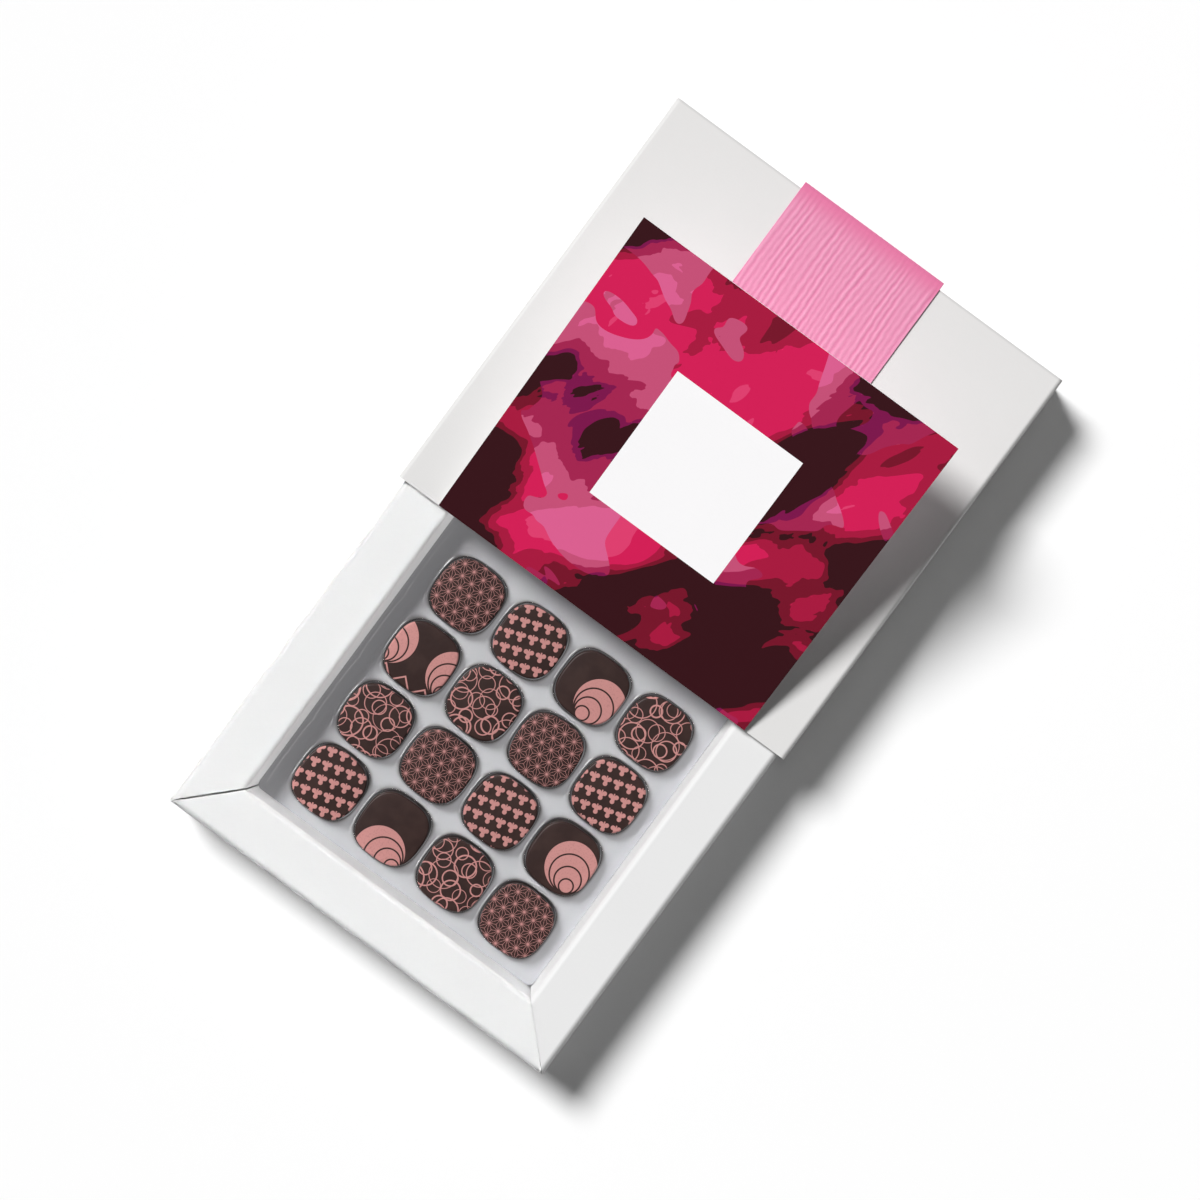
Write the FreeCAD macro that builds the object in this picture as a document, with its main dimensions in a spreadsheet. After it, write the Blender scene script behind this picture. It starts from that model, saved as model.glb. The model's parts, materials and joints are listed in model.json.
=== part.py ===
import FreeCAD, Part
import os
import re

import Sketcher
from FreeCAD import Placement, Rotation, Vector

# A box of chocolates: a tray with hollow mitred walls slides out of a board sleeve towards -Y,
# a printed card turns on a crease along the sleeve's mouth, and a ribbon runs over its back edge.
# Millimetres, +Z up. The origin is the centre of the sleeve's bottom face.

SIZES = {
    # Chocolates
    "chocolate_side": 19.6,
    "chocolate_side_radius": 34.0,
    "chocolate_corner_radius": 6.3,
    "chocolate_height": 11.0,
    "chocolate_top_bevel": 1.3,
    # Thermoformed insert
    "chocolate_gap": 0.3,
    "cavity_wall": 0.35,
    "cavity_land": 1.2,
    "cavity_corner_cut": 4.4,
    "cavity_draft_angle": 2.0,
    "cavity_lead_in": 0.25,
    "field_to_right": 1.0,
    "field_to_front": 2.15,
    "insert_border": 4.0,
    "insert_height": 6.2,
    "insert_sheet": 0.5,
    "insert_corner_radius": 4.0,
    "insert_gap": 0.2,
    # Tray with hollow rails
    "tray_board": 1.0,
    "tray_pull": 112.4,
    "rail_height": 20.2,
    "rail_width": 15.5,
    "rail_lean": 1.6,
    "rail_board": 0.8,
    "rail_fold_softness": 0.9,
    "mitre_gap": 0.08,
    "open_mitre_gap": 0.45,
    # Sleeve round the tray
    "tray_side_gap": 1.0,
    "tray_top_gap": 0.8,
    "tray_back_gap": 0.8,
    "sleeve_board": 1.0,
    "sleeve_fold_softness": 0.3,
    # Ribbon
    "ribbon_width": 48.5,
    "ribbon_thickness": 0.4,
    "ribbon_gap": 0.2,
    "ribbon_bulge": 1.8,
    "ribbon_settle": 9.0,
    "ribbon_end_height": 2.5,
    # Printed card on its crease
    "card_width": 107.0,
    "card_length": 101.5,
    "card_thickness": 0.5,
    "card_open_angle": 17.0,
    "card_gap": 0.2,
    "crease_inset": 0.2,
    "tab_depth": 12.0,
    "tab_thickness": 0.4,
    "tab_inset": 1.5,
    "tab_to_ribbon": 2.0,
}

# Cavities and chocolates: four rows from the sleeve to the front, four columns from left to right.
# The field of cavities lies a little to the right and to the front of the insert's centre.
# Each chocolate lies in its cavity turned by a few degrees, as a hand leaves it.
ROWS = "abcd"
COLUMNS = "1234"
HAND_TURNS = (
    (-2, 2, -1, 1),
    (1, -2, 2, -1),
    (2, 0, -2, 1),
    (-3, 1, 2, -1),
)

# Formulas that several pieces share: the chocolates set the size of the insert, the insert
# that of the tray, and the tray that of the sleeve
CAVITY_PITCH = "(chocolate_side + 2 * chocolate_gap + 2 * cavity_wall + cavity_land)"
INSERT_WIDTH = f"({len(COLUMNS)} * {CAVITY_PITCH} + 2 * insert_border)"
INSERT_LENGTH = f"({len(ROWS)} * {CAVITY_PITCH} + 2 * insert_border)"
RAIL_FOOT = "(rail_width + rail_lean)"
TRAY_WIDTH = f"({INSERT_WIDTH} + 2 * insert_gap + 2 * {RAIL_FOOT})"
TRAY_LENGTH = f"({INSERT_LENGTH} + 2 * insert_gap + 2 * {RAIL_FOOT})"
FLOOR_TOP = "(sleeve_board + tray_board)"
CAVITY_FLOOR = f"({FLOOR_TOP} + insert_sheet)"
RAIL_TOP = f"({FLOOR_TOP} + rail_height)"
SLEEVE_WIDTH = f"({TRAY_WIDTH} + 2 * tray_side_gap + 2 * sleeve_board)"
SLEEVE_LENGTH = f"({TRAY_LENGTH} + tray_back_gap + sleeve_board)"
SLEEVE_CEILING = f"({RAIL_TOP} + tray_top_gap)"
SLEEVE_HEIGHT = f"({SLEEVE_CEILING} + sleeve_board)"
MOUTH_Y = f"(-{SLEEVE_LENGTH} / 2)"
TRAY_CENTRE = f"({MOUTH_Y} + {TRAY_LENGTH} / 2 - tray_pull)"
CREASE_Y = f"({MOUTH_Y} + crease_inset)"

doc = FreeCAD.newDocument("chocolate_box")
sheet = doc.addObject("Spreadsheet::Sheet", "Sizes")
for row, (alias, value) in enumerate(SIZES.items(), start=1):
    sheet.set(f"A{row}", alias)
    sheet.set(f"B{row}", str(value))
    sheet.setAlias(f"B{row}", alias)
doc.recompute()

pieces = []


def number(formula):
    """Work out a formula of sizes."""
    return float(sheet.evalExpression(formula))


def bind(owner, target, formula):
    """Bind a property or constraint to a formula of sizes in the sheet."""
    owner.setExpression(target, re.sub(r"[a-z_]+", cell_name, formula))


def cell_name(word):
    """Give a size's full name in the sheet, and leave functions such as sqrt as they are."""
    return f"Sizes.{word[0]}" if word[0] in SIZES else word[0]


def new_body(label, turn=0, y=None):
    """Start a piece, turned about Z and moved along Y by a formula."""
    body = doc.addObject("PartDesign::Body", label)
    body.Label = label
    body.Placement = Placement(Vector(), Rotation(Vector(0, 0, 1), turn))
    if y:
        bind(body, "Placement.Base.y", y)
    pieces.append(body)
    return body


def new_sketch(body, plane, height=None):
    """Start a sketch on one of the body's own origin planes, raised from it by a formula."""
    sketch = body.newObject("Sketcher::SketchObject", "outline")
    support = next(item for item in body.Origin.OriginFeatures if item.Role == plane)
    sketch.AttachmentSupport = [(support, "")]
    sketch.MapMode = "FlatFace"
    if height:
        bind(sketch, "AttachmentOffset.Base.z", height)
    return sketch


def hold_point(sketch, line, x, y):
    """Hold the start of a line by its two distances from the sketch's origin."""
    for kind, across, formula in (("DistanceX", -2, x), ("DistanceY", -1, y)):
        if formula == "0":
            sketch.addConstraint(Sketcher.Constraint("PointOnObject", line, 1, across))
            continue
        index = sketch.addConstraint(Sketcher.Constraint(kind, -1, 1, line, 1, number(formula)))
        bind(sketch, f"Constraints[{index}]", formula)


def draw_outline(sketch, corners):
    """Draw a closed outline, anticlockwise, through corners given as formulas.

    A corner is an x and a y, and a radius too where the side that follows it is an arc.
    """
    points = [Vector(number(corner[0]), number(corner[1]), 0) for corner in corners]
    count = len(points)
    first = sketch.GeometryCount
    for start, end, corner in zip(points, points[1:] + points[:1], corners):
        if len(corner) == 2:
            sketch.addGeometry(Part.LineSegment(start, end))
            continue
        chord = end - start
        radius = number(corner[2])
        rise = radius - (radius ** 2 - chord.Length ** 2 / 4) ** 0.5
        outward = Vector(chord.y, -chord.x, 0).normalize()
        sketch.addGeometry(Part.Arc(start, (start + end) * 0.5 + outward * rise, end))
    for index, corner in enumerate(corners):
        line = first + index
        after = first + (index + 1) % count
        sketch.addConstraint(Sketcher.Constraint("Coincident", line, 2, after, 1))
        hold_point(sketch, line, corner[0], corner[1])
        if len(corner) == 3:
            radius = sketch.addConstraint(Sketcher.Constraint("Radius", line, number(corner[2])))
            bind(sketch, f"Constraints[{radius}]", corner[2])


def rectangle(half_x, half_y):
    """Give the corners of a rectangle about the origin, anticlockwise."""
    return [
        (f"-{half_x}", f"-{half_y}"),
        (half_x, f"-{half_y}"),
        (half_x, half_y),
        (f"-{half_x}", half_y),
    ]


def pad(body, sketch, length, symmetric=False):
    """Raise a sketch by a formula, to one side or half to each."""
    feature = body.newObject("PartDesign::Pad", "pad")
    feature.Profile = sketch
    feature.SideType = "Symmetric" if symmetric else "One side"
    bind(feature, "Length", length)
    doc.recompute()
    return feature


def pocket(body, sketch, length=None):
    """Cut a sketch upwards by a formula, or both ways through everything."""
    volume = body.Shape.Volume
    feature = body.newObject("PartDesign::Pocket", "pocket")
    feature.Profile = sketch
    if length:
        feature.Reversed = True
        bind(feature, "Length", length)
    else:
        feature.Type = "ThroughAll"
        feature.SideType = "Symmetric"
    doc.recompute()
    if not body.Shape.Volume < volume:
        raise RuntimeError(f"{body.Label}: the pocket cuts nothing")
    return feature


def ease(body, base, kind, size, picks):
    """Fillet or chamfer, by a formula, the edges of a feature whose middle passes a test."""
    names = [
        f"Edge{index}"
        for index, edge in enumerate(base.Shape.Edges, start=1)
        if picks(edge, edge.valueAt((edge.FirstParameter + edge.LastParameter) / 2))
    ]
    feature = body.newObject(f"PartDesign::{kind}", kind.lower())
    feature.Base = (base, names)
    bind(feature, {"Fillet": "Radius", "Chamfer": "Size"}[kind], size)
    doc.recompute()
    return feature


X_AXIS = Vector(1, 0, 0)
Y_AXIS = Vector(0, 1, 0)
Z_AXIS = Vector(0, 0, 1)


def same(one, other):
    """Tell whether two lengths or cosines are equal, to within a thousandth."""
    tolerance = 0.001
    return abs(one - other) < tolerance


def runs_along(edge, axis):
    """Tell whether a straight edge runs along an axis."""
    return isinstance(edge.Curve, Part.Line) and same(abs(edge.Curve.Direction.dot(axis)), 1)


# Sleeve
def upright_rectangle(half_width, low, high):
    """Give the corners of a rectangle about the upright axis, anticlockwise."""
    return [
        (f"-{half_width}", low),
        (half_width, low),
        (half_width, high),
        (f"-{half_width}", high),
    ]


def make_sleeve():
    """Fold the tube from its cross-section, and close its back end with a panel set inside."""
    outer_half = f"({SLEEVE_WIDTH} / 2)"
    inside = upright_rectangle(f"({outer_half} - sleeve_board)", "sleeve_board", SLEEVE_CEILING)

    shell = new_body("sleeve_shell")
    section = new_sketch(shell, "XZ_Plane")
    draw_outline(section, upright_rectangle(outer_half, "0", SLEEVE_HEIGHT))
    draw_outline(section, inside)
    tube = pad(shell, section, SLEEVE_LENGTH, symmetric=True)
    outer_x = number(outer_half)
    ease(shell, tube, "Fillet", "sleeve_board + sleeve_fold_softness",
         lambda edge, at: runs_along(edge, Y_AXIS) and same(abs(at.x), outer_x))

    panel = new_body("sleeve_back_panel", y=f"{SLEEVE_LENGTH} / 2")
    section = new_sketch(panel, "XZ_Plane")
    draw_outline(section, inside)
    pad(panel, section, "sleeve_board")


# Tray
def make_tray_floor():
    """Make the board that lies on the sleeve's bottom and carries the rails."""
    floor = new_body("tray_floor", y=TRAY_CENTRE)
    outline = new_sketch(floor, "XY_Plane", height="sleeve_board")
    draw_outline(outline, rectangle(f"({TRAY_WIDTH} / 2)", f"({TRAY_LENGTH} / 2)"))
    pad(floor, outline, "tray_board")


def make_rail(label, turn, run, reach, left_gap, right_gap):
    """Fold one hollow wall of the tray and mitre its ends.

    The rail is drawn as the front one and turned about the tray's centre. Its outer wall is
    upright, its top is flat and its inner wall leans in towards the floor.
    """
    outer = f"(-{reach})"
    inner = f"(rail_width - {reach})"
    foot = f"({RAIL_FOOT} - {reach})"
    under_top = f"({RAIL_TOP} - rail_board)"

    rail = new_body(label, turn, y=TRAY_CENTRE)
    section = new_sketch(rail, "YZ_Plane")
    draw_outline(section, [
        (outer, FLOOR_TOP),
        (f"({outer} + rail_board)", FLOOR_TOP),
        (f"({outer} + rail_board)", under_top),
        (f"({inner} - rail_board)", under_top),
        (f"({foot} - rail_board)", FLOOR_TOP),
        (foot, FLOOR_TOP),
        (inner, RAIL_TOP),
        (outer, RAIL_TOP),
    ])
    channel = pad(rail, section, run, symmetric=True)
    top_z = number(RAIL_TOP)
    ease(rail, channel, "Fillet", "rail_board + rail_fold_softness",
         lambda edge, at: runs_along(edge, X_AXIS) and same(at.z, top_z))

    # Each end is cut along a diagonal that starts outside the corner and ends past the foot
    past = f"({RAIL_FOOT} + rail_lean)"
    cuts = new_sketch(rail, "XY_Plane")
    for side, gap in (("-", left_gap), ("", right_gap)):
        end = f"({run} / 2 - {gap} / sqrt(2))"
        draw_outline(cuts, [
            (f"{side}({end} + rail_lean)", f"({outer} - rail_lean)"),
            (f"{side}({end} - {past})", f"({outer} + {past})"),
            (f"{side}({end} + rail_lean)", f"({outer} + {past})"),
        ])
    pocket(rail, cuts)


def make_rails():
    """Make the four rails: the mitre at the front left stands a little open."""
    half_width = f"({TRAY_WIDTH} / 2)"
    half_length = f"({TRAY_LENGTH} / 2)"
    make_rail("tray_front_rail", 0, TRAY_WIDTH, half_length, "open_mitre_gap", "mitre_gap")
    make_rail("tray_right_rail", 90, TRAY_LENGTH, half_width, "mitre_gap", "mitre_gap")
    make_rail("tray_back_rail", 180, TRAY_WIDTH, half_length, "mitre_gap", "mitre_gap")
    make_rail("tray_left_rail", 270, TRAY_LENGTH, half_width, "mitre_gap", "open_mitre_gap")


# Thermoformed insert
def cavity_sketch(body, height, half):
    """Sketch a square with cut corners at the first cavity, the front left one."""
    side = f"({half} - cavity_corner_cut)"
    first_cavity = f"(-{len(ROWS) - 1} / 2 * {CAVITY_PITCH})"
    sketch = new_sketch(body, "XY_Plane", height=height)
    bind(sketch, "AttachmentOffset.Base.x", f"{first_cavity} + field_to_right")
    bind(sketch, "AttachmentOffset.Base.y", f"{first_cavity} - field_to_front")
    draw_outline(sketch, [
        (f"-{side}", f"-{half}"),
        (side, f"-{half}"),
        (half, f"-{side}"),
        (half, side),
        (side, half),
        (f"-{side}", half),
        (f"-{half}", side),
        (f"-{half}", f"-{side}"),
    ])
    return sketch


def repeat_over_cavities(body, feature):
    """Repeat a feature over the rows and columns of cavities."""
    axes = {item.Role: item for item in body.Origin.OriginFeatures}
    common_spacing = -1.0  # the pattern's mark for a gap with no spacing of its own
    pattern = body.newObject("PartDesign::LinearPattern", "cavities")
    pattern.Originals = [feature]
    pattern.Direction = (axes["X_Axis"], [""])
    pattern.Direction2 = (axes["Y_Axis"], [""])
    pattern.Mode = "Spacing"
    pattern.Mode2 = "Spacing"
    pattern.Occurrences = len(COLUMNS)
    pattern.Occurrences2 = len(ROWS)
    pattern.Spacings2 = [common_spacing] * (len(ROWS) - 1)
    bind(pattern, "Offset", CAVITY_PITCH)
    bind(pattern, "Offset2", CAVITY_PITCH)
    body.Tip = pattern
    doc.recompute()
    return pattern


def make_insert():
    """Form one sheet into a skirt, a web and a drafted cup with an eased mouth for each chocolate."""
    insert = new_body("insert_tray", y=TRAY_CENTRE)
    half_x = f"({INSERT_WIDTH} / 2)"
    half_y = f"({INSERT_LENGTH} / 2)"

    outline = new_sketch(insert, "XY_Plane", height=FLOOR_TOP)
    draw_outline(outline, rectangle(half_x, half_y))
    block = pad(insert, outline, "insert_height")
    ease(insert, block, "Fillet", "insert_corner_radius", lambda edge, at: runs_along(edge, Z_AXIS))

    hollow = new_sketch(insert, "XY_Plane", height=FLOOR_TOP)
    draw_outline(hollow, rectangle(f"({half_x} - insert_sheet)", f"({half_y} - insert_sheet)"))
    pocket(insert, hollow, "insert_height - insert_sheet")

    half = "(chocolate_side / 2 + chocolate_gap)"
    cup = pad(insert, cavity_sketch(insert, FLOOR_TOP, f"({half} + cavity_wall)"), "insert_height")
    bind(cup, "TaperAngle", "cavity_draft_angle")
    repeat_over_cavities(insert, cup)
    hole = pocket(insert, cavity_sketch(insert, CAVITY_FLOOR, half), "insert_height - insert_sheet")
    bind(hole, "TaperAngle", "cavity_draft_angle")
    holes = repeat_over_cavities(insert, hole)

    top_z = number(f"{FLOOR_TOP} + insert_height")
    field_x = number(f"{half_x} - insert_border / 2")
    field_y = number(f"{half_y} - insert_border / 2")
    ease(insert, holes, "Chamfer", "cavity_lead_in",
         lambda edge, at: same(at.z, top_z) and abs(at.x) < field_x and abs(at.y) < field_y)


# Chocolates
def cushion_square():
    """Give the corners of a square with bulging sides, each an arc tangent to the corner arcs.

    The centre of a side's arc lies on an axis, the centre of a corner's arc on a diagonal, and
    the two arcs meet on the line through both centres.
    """
    side_centre = "(chocolate_side_radius - chocolate_side / 2)"
    between = "(chocolate_side_radius - chocolate_corner_radius)"
    corner_centre = f"((sqrt(2 * {between} ^ 2 - {side_centre} ^ 2) - {side_centre}) / 2)"
    near = f"({corner_centre} * chocolate_side_radius / {between})"
    far = f"(({corner_centre} + {side_centre}) * chocolate_side_radius / {between} - {side_centre})"
    side = "chocolate_side_radius"
    corner = "chocolate_corner_radius"
    return [
        (f"-{near}", f"-{far}", side),
        (near, f"-{far}", corner),
        (far, f"-{near}", side),
        (far, near, corner),
        (near, far, side),
        (f"-{near}", far, corner),
        (f"-{far}", near, side),
        (f"-{far}", f"-{near}", corner),
    ]


def make_chocolate(row, column, turn):
    """Make one chocolate: a cushion square with a bevelled top edge."""
    row_y = f"{(len(ROWS) - 1) / 2 - row} * {CAVITY_PITCH} - field_to_front"
    column_x = f"{column - (len(COLUMNS) - 1) / 2} * {CAVITY_PITCH} + field_to_right"
    name = f"chocolate_{ROWS[row]}{COLUMNS[column]}"
    chocolate = new_body(name, turn, y=f"{TRAY_CENTRE} + {row_y}")
    bind(chocolate, "Placement.Base.x", column_x)
    outline = new_sketch(chocolate, "XY_Plane", height=CAVITY_FLOOR)
    draw_outline(outline, cushion_square())
    block = pad(chocolate, outline, "chocolate_height")
    top_z = number(f"{CAVITY_FLOOR} + chocolate_height")
    ease(chocolate, block, "Chamfer", "chocolate_top_bevel", lambda edge, at: same(at.z, top_z))


# Printed card
def flap_rectangle(half_width, depth):
    """Give the corners of a rectangle that starts at the crease, anticlockwise."""
    return [
        (f"-{half_width}", "0"),
        (half_width, "0"),
        (half_width, depth),
        (f"-{half_width}", depth),
    ]


def make_card():
    """Make the card, turned up on its crease, and the tab under it that is glued to the sleeve.

    Laid flat, the card would just clear the tab and the ribbon.
    """
    under_card = "max(tab_thickness; ribbon_gap + ribbon_thickness)"
    card = new_body("printed_card", y=CREASE_Y)
    card.Placement.Rotation = Rotation(X_AXIS, 1)
    bind(card, "Placement.Base.z", f"{SLEEVE_HEIGHT} + {under_card} + card_gap")
    bind(card, "Placement.Rotation.Angle", "card_open_angle")
    outline = new_sketch(card, "XY_Plane")
    draw_outline(outline, flap_rectangle("(card_width / 2)", "card_length"))
    pad(card, outline, "card_thickness")

    tab = new_body("card_tab", y=CREASE_Y)
    outline = new_sketch(tab, "XY_Plane", height=SLEEVE_HEIGHT)
    draw_outline(outline, flap_rectangle("(card_width / 2 - tab_inset)", "tab_depth"))
    pad(tab, outline, "tab_thickness")


# Ribbon
def make_ribbon():
    """Lay the ribbon along the sleeve's top, over its back edge in a soft bend and down its back."""
    back = f"({SLEEVE_LENGTH} / 2)"
    start = f"({CREASE_Y} + tab_depth + tab_to_ribbon)"
    under = f"({SLEEVE_HEIGHT} + ribbon_gap)"
    over = f"({under} + ribbon_thickness)"
    bend = f"({back} + ribbon_bulge)"
    outer_bend = f"({bend} + ribbon_thickness)"
    bend_radius = "(ribbon_bulge + ribbon_gap)"
    rest = f"({back} + ribbon_gap)"
    outer_rest = f"({rest} + ribbon_thickness)"
    settle = f"({SLEEVE_HEIGHT} - ribbon_settle)"

    ribbon = new_body("ribbon")
    section = new_sketch(ribbon, "YZ_Plane")
    draw_outline(section, [
        (start, under),
        (bend, under),
        (rest, settle),
        (rest, "ribbon_end_height"),
        (outer_rest, "ribbon_end_height"),
        (outer_rest, settle),
        (outer_bend, over),
        (start, over),
    ])
    strip = pad(ribbon, section, "ribbon_width", symmetric=True)
    for corner_y, radius in ((bend, bend_radius), (outer_bend, f"{bend_radius} + ribbon_thickness")):
        at_y = number(corner_y)
        strip = ease(ribbon, strip, "Fillet", radius,
                     lambda edge, at: runs_along(edge, X_AXIS) and same(at.y, at_y))


make_sleeve()
make_tray_floor()
make_rails()
make_insert()
for row, turns in enumerate(HAND_TURNS):
    for column, turn in enumerate(turns):
        make_chocolate(row, column, turn)
make_card()
make_ribbon()
doc.recompute()

for item in doc.Objects:
    if "Invalid" in item.State or "Error" in item.State:
        raise RuntimeError(f"{item.Label} failed: {item.State}")
for piece in pieces:
    if piece.Shape.isNull() or not piece.Shape.isValid():
        raise RuntimeError(f"{piece.Label} has no valid shape")

os.makedirs("parts", exist_ok=True)
for piece in pieces:
    piece.Shape.exportStep(f"parts/{piece.Label}.step")
    print(f"{piece.Label}: {piece.Shape.Volume:.1f} mm3")
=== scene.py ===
"""Looks of a box of chocolates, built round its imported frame.

A tray with broad hollow walls stands half out of a white board sleeve. The sleeve carries a crepe
ribbon and a printed card, and the tray a formed clear insert with sixteen printed chocolates.
Lengths are metres and +Z is up. Patterns are worked out in millimetres.
"""

import json
import logging
import math
from dataclasses import dataclass
from dataclasses import field
from dataclasses import replace
from enum import Enum

import bmesh
import bpy
import numpy as np
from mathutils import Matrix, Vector


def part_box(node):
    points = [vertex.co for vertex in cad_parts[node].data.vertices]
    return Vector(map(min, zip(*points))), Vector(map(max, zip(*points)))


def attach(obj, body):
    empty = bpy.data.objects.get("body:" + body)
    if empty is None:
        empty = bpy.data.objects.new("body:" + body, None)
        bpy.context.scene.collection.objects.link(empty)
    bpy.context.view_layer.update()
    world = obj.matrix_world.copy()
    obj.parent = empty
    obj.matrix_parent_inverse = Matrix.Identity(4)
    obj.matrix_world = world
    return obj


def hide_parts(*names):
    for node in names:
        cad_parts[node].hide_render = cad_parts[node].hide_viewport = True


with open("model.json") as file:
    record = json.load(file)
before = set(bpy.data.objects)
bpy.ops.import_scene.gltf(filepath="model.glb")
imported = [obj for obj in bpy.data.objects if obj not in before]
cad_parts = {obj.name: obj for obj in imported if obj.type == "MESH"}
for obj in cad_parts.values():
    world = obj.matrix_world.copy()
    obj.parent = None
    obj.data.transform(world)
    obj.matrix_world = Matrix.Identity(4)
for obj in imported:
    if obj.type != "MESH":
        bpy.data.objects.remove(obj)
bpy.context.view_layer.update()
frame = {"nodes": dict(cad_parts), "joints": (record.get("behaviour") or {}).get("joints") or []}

MM = 0.001
MERGE = 1.0e-7
LOG = logging.getLogger("chocolate_box")

Triple = tuple[float, float, float]
Colour = Triple
Inks = tuple[tuple[float, Colour], ...]
Socket = bpy.types.NodeSocket
Value = float | Triple | Socket


def linear(red: int, green: int, blue: int) -> Colour:
    """Turn a colour as a screen shows it into the linear values that shaders use.

    Each channel follows the screen standard: a straight foot, then a power of 2.4.

    Args:
        red: Red from 0 to 255.
        green: Green from 0 to 255.
        blue: Blue from 0 to 255.

    Returns:
        The three linear values, from 0 to 1.
    """
    seen = np.array([red, green, blue]) / 255
    values = np.where(seen <= 0.04045, seen / 12.92, ((seen + 0.055) / 1.055) ** 2.4)
    return tuple(float(value) for value in values)


# Node trees
@dataclass(frozen=True)
class Noise:
    """Soft noise with values near 0.5.

    Attributes:
        size: Size of its largest features, in millimetres.
        detail: How many finer layers it has.
        distortion: How far it is pulled about.
    """

    size: float
    detail: float = 2.0
    distortion: float = 0.0


def by_identifier(sockets: bpy.types.NodeInputs, identifier: str) -> Socket:
    """Find a socket by its identifier, where several share a name."""
    return next(socket for socket in sockets if socket.identifier == identifier)


class NodeGraph:
    """A node tree with short ways to add nodes and join them."""

    def __init__(self, tree: bpy.types.NodeTree) -> None:
        """Take the tree to fill."""
        self.tree = tree

    def feed(self, socket: Socket, value: Value) -> None:
        """Join a socket to another one, or give it a value of its own.

        Args:
            socket: The input to feed.
            value: An output to join it to, or a number, vector or colour.
        """
        if isinstance(value, Socket):
            self.tree.links.new(value, socket)
        elif socket.type == "RGBA":
            socket.default_value = (*value, 1.0)
        else:
            socket.default_value = value

    def add(self, kind: str, inputs: dict | None = None, **settings: object) -> bpy.types.Node:
        """Add a node.

        Args:
            kind: The node's type name.
            inputs: Values or outputs for its inputs, by name or place.
            settings: Values for its own properties.

        Returns:
            The new node.
        """
        node = self.tree.nodes.new(kind)
        for name, value in settings.items():
            setattr(node, name, value)
        for key, value in (inputs or {}).items():
            self.feed(node.inputs[key], value)
        return node

    def math(self, operation: str, *values: Value) -> Socket:
        """Work out numbers by one of the Math node's operations."""
        return self.add("ShaderNodeMath", dict(enumerate(values)), operation=operation).outputs[0]

    def vector(self, operation: str, *values: Value) -> Socket:
        """Work out a vector by one of the Vector Math node's operations."""
        inputs = dict(enumerate(values))
        return self.add("ShaderNodeVectorMath", inputs, operation=operation).outputs["Vector"]

    def length(self, vector: Socket) -> Socket:
        """Give a vector's length."""
        return self.add("ShaderNodeVectorMath", {0: vector}, operation="LENGTH").outputs["Value"]

    def scaled(self, vector: Socket, scale: Value) -> Socket:
        """Give a vector times a number."""
        inputs = {0: vector, "Scale": scale}
        return self.add("ShaderNodeVectorMath", inputs, operation="SCALE").outputs["Vector"]

    def turned(self, vector: Socket, angle: float) -> Socket:
        """Turn a vector about Z by an angle in radians."""
        inputs = {"Vector": vector, "Angle": angle}
        return self.add("ShaderNodeVectorRotate", inputs, rotation_type="Z_AXIS").outputs[0]

    def parts(self, vector: Socket) -> bpy.types.NodeOutputs:
        """Split a vector into its X, Y and Z."""
        return self.add("ShaderNodeSeparateXYZ", {0: vector}).outputs

    def gap(self, value: Value, mark: Value) -> Socket:
        """Give how far a number lies from a mark, to either side."""
        return self.math("ABSOLUTE", self.math("SUBTRACT", value, mark))

    def step(self, value: Value, low: Value, high: Value) -> Socket:
        """Rise smoothly from 0 at low to 1 at high.

        Args:
            value: The number to judge.
            low: Where the rise starts.
            high: Where it ends.

        Returns:
            The risen value, from 0 to 1.
        """
        inputs = {"Value": value, "From Min": low, "From Max": high}
        node = self.add("ShaderNodeMapRange", inputs, interpolation_type="SMOOTHSTEP")
        return node.outputs["Result"]

    def blend(self, kind: str, share: Value, values: tuple[Value, Value], **settings: str) -> Socket:
        """Blend two values.

        Args:
            kind: The kind of value, as the Mix node's sockets name it.
            share: 0 for the first value, 1 for the second.
            values: The two values.
            settings: The Mix node's own properties.

        Returns:
            The blend.
        """
        node = self.add("ShaderNodeMix", **settings)
        for name, value in zip(("Factor_Float", f"A_{kind}", f"B_{kind}"), (share, *values)):
            self.feed(by_identifier(node.inputs, name), value)
        return by_identifier(node.outputs, f"Result_{kind}")

    def mix(self, share: Value, first: Value, second: Value) -> Socket:
        """Blend two colours: 0 gives the first, and 1 the second."""
        return self.blend("Color", share, (first, second), data_type="RGBA")

    def tinted(self, colour: Value, tint: Value) -> Socket:
        """Multiply a colour by a tint."""
        return self.blend("Color", 1.0, (colour, tint), data_type="RGBA", blend_type="MULTIPLY")

    def grey(self, shade: Socket) -> Socket:
        """Turn a number into a grey."""
        return self.add("ShaderNodeCombineColor", dict.fromkeys(range(3), shade)).outputs[0]

    def noise(self, place: Socket, look: Noise) -> Socket:
        """Draw noise.

        Args:
            place: The place in millimetres.
            look: The noise.

        Returns:
            A value near 0.5.
        """
        inputs = {"Vector": place, "Scale": 1 / look.size, "Detail": look.detail}
        inputs["Distortion"] = look.distortion
        return self.add("ShaderNodeTexNoise", inputs).outputs[0]

    def group(self, tree: bpy.types.NodeTree, inputs: dict[str, Value]) -> bpy.types.NodeOutputs:
        """Place a node group and give its outputs."""
        return self.add("ShaderNodeGroup", inputs, node_tree=tree).outputs


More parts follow.
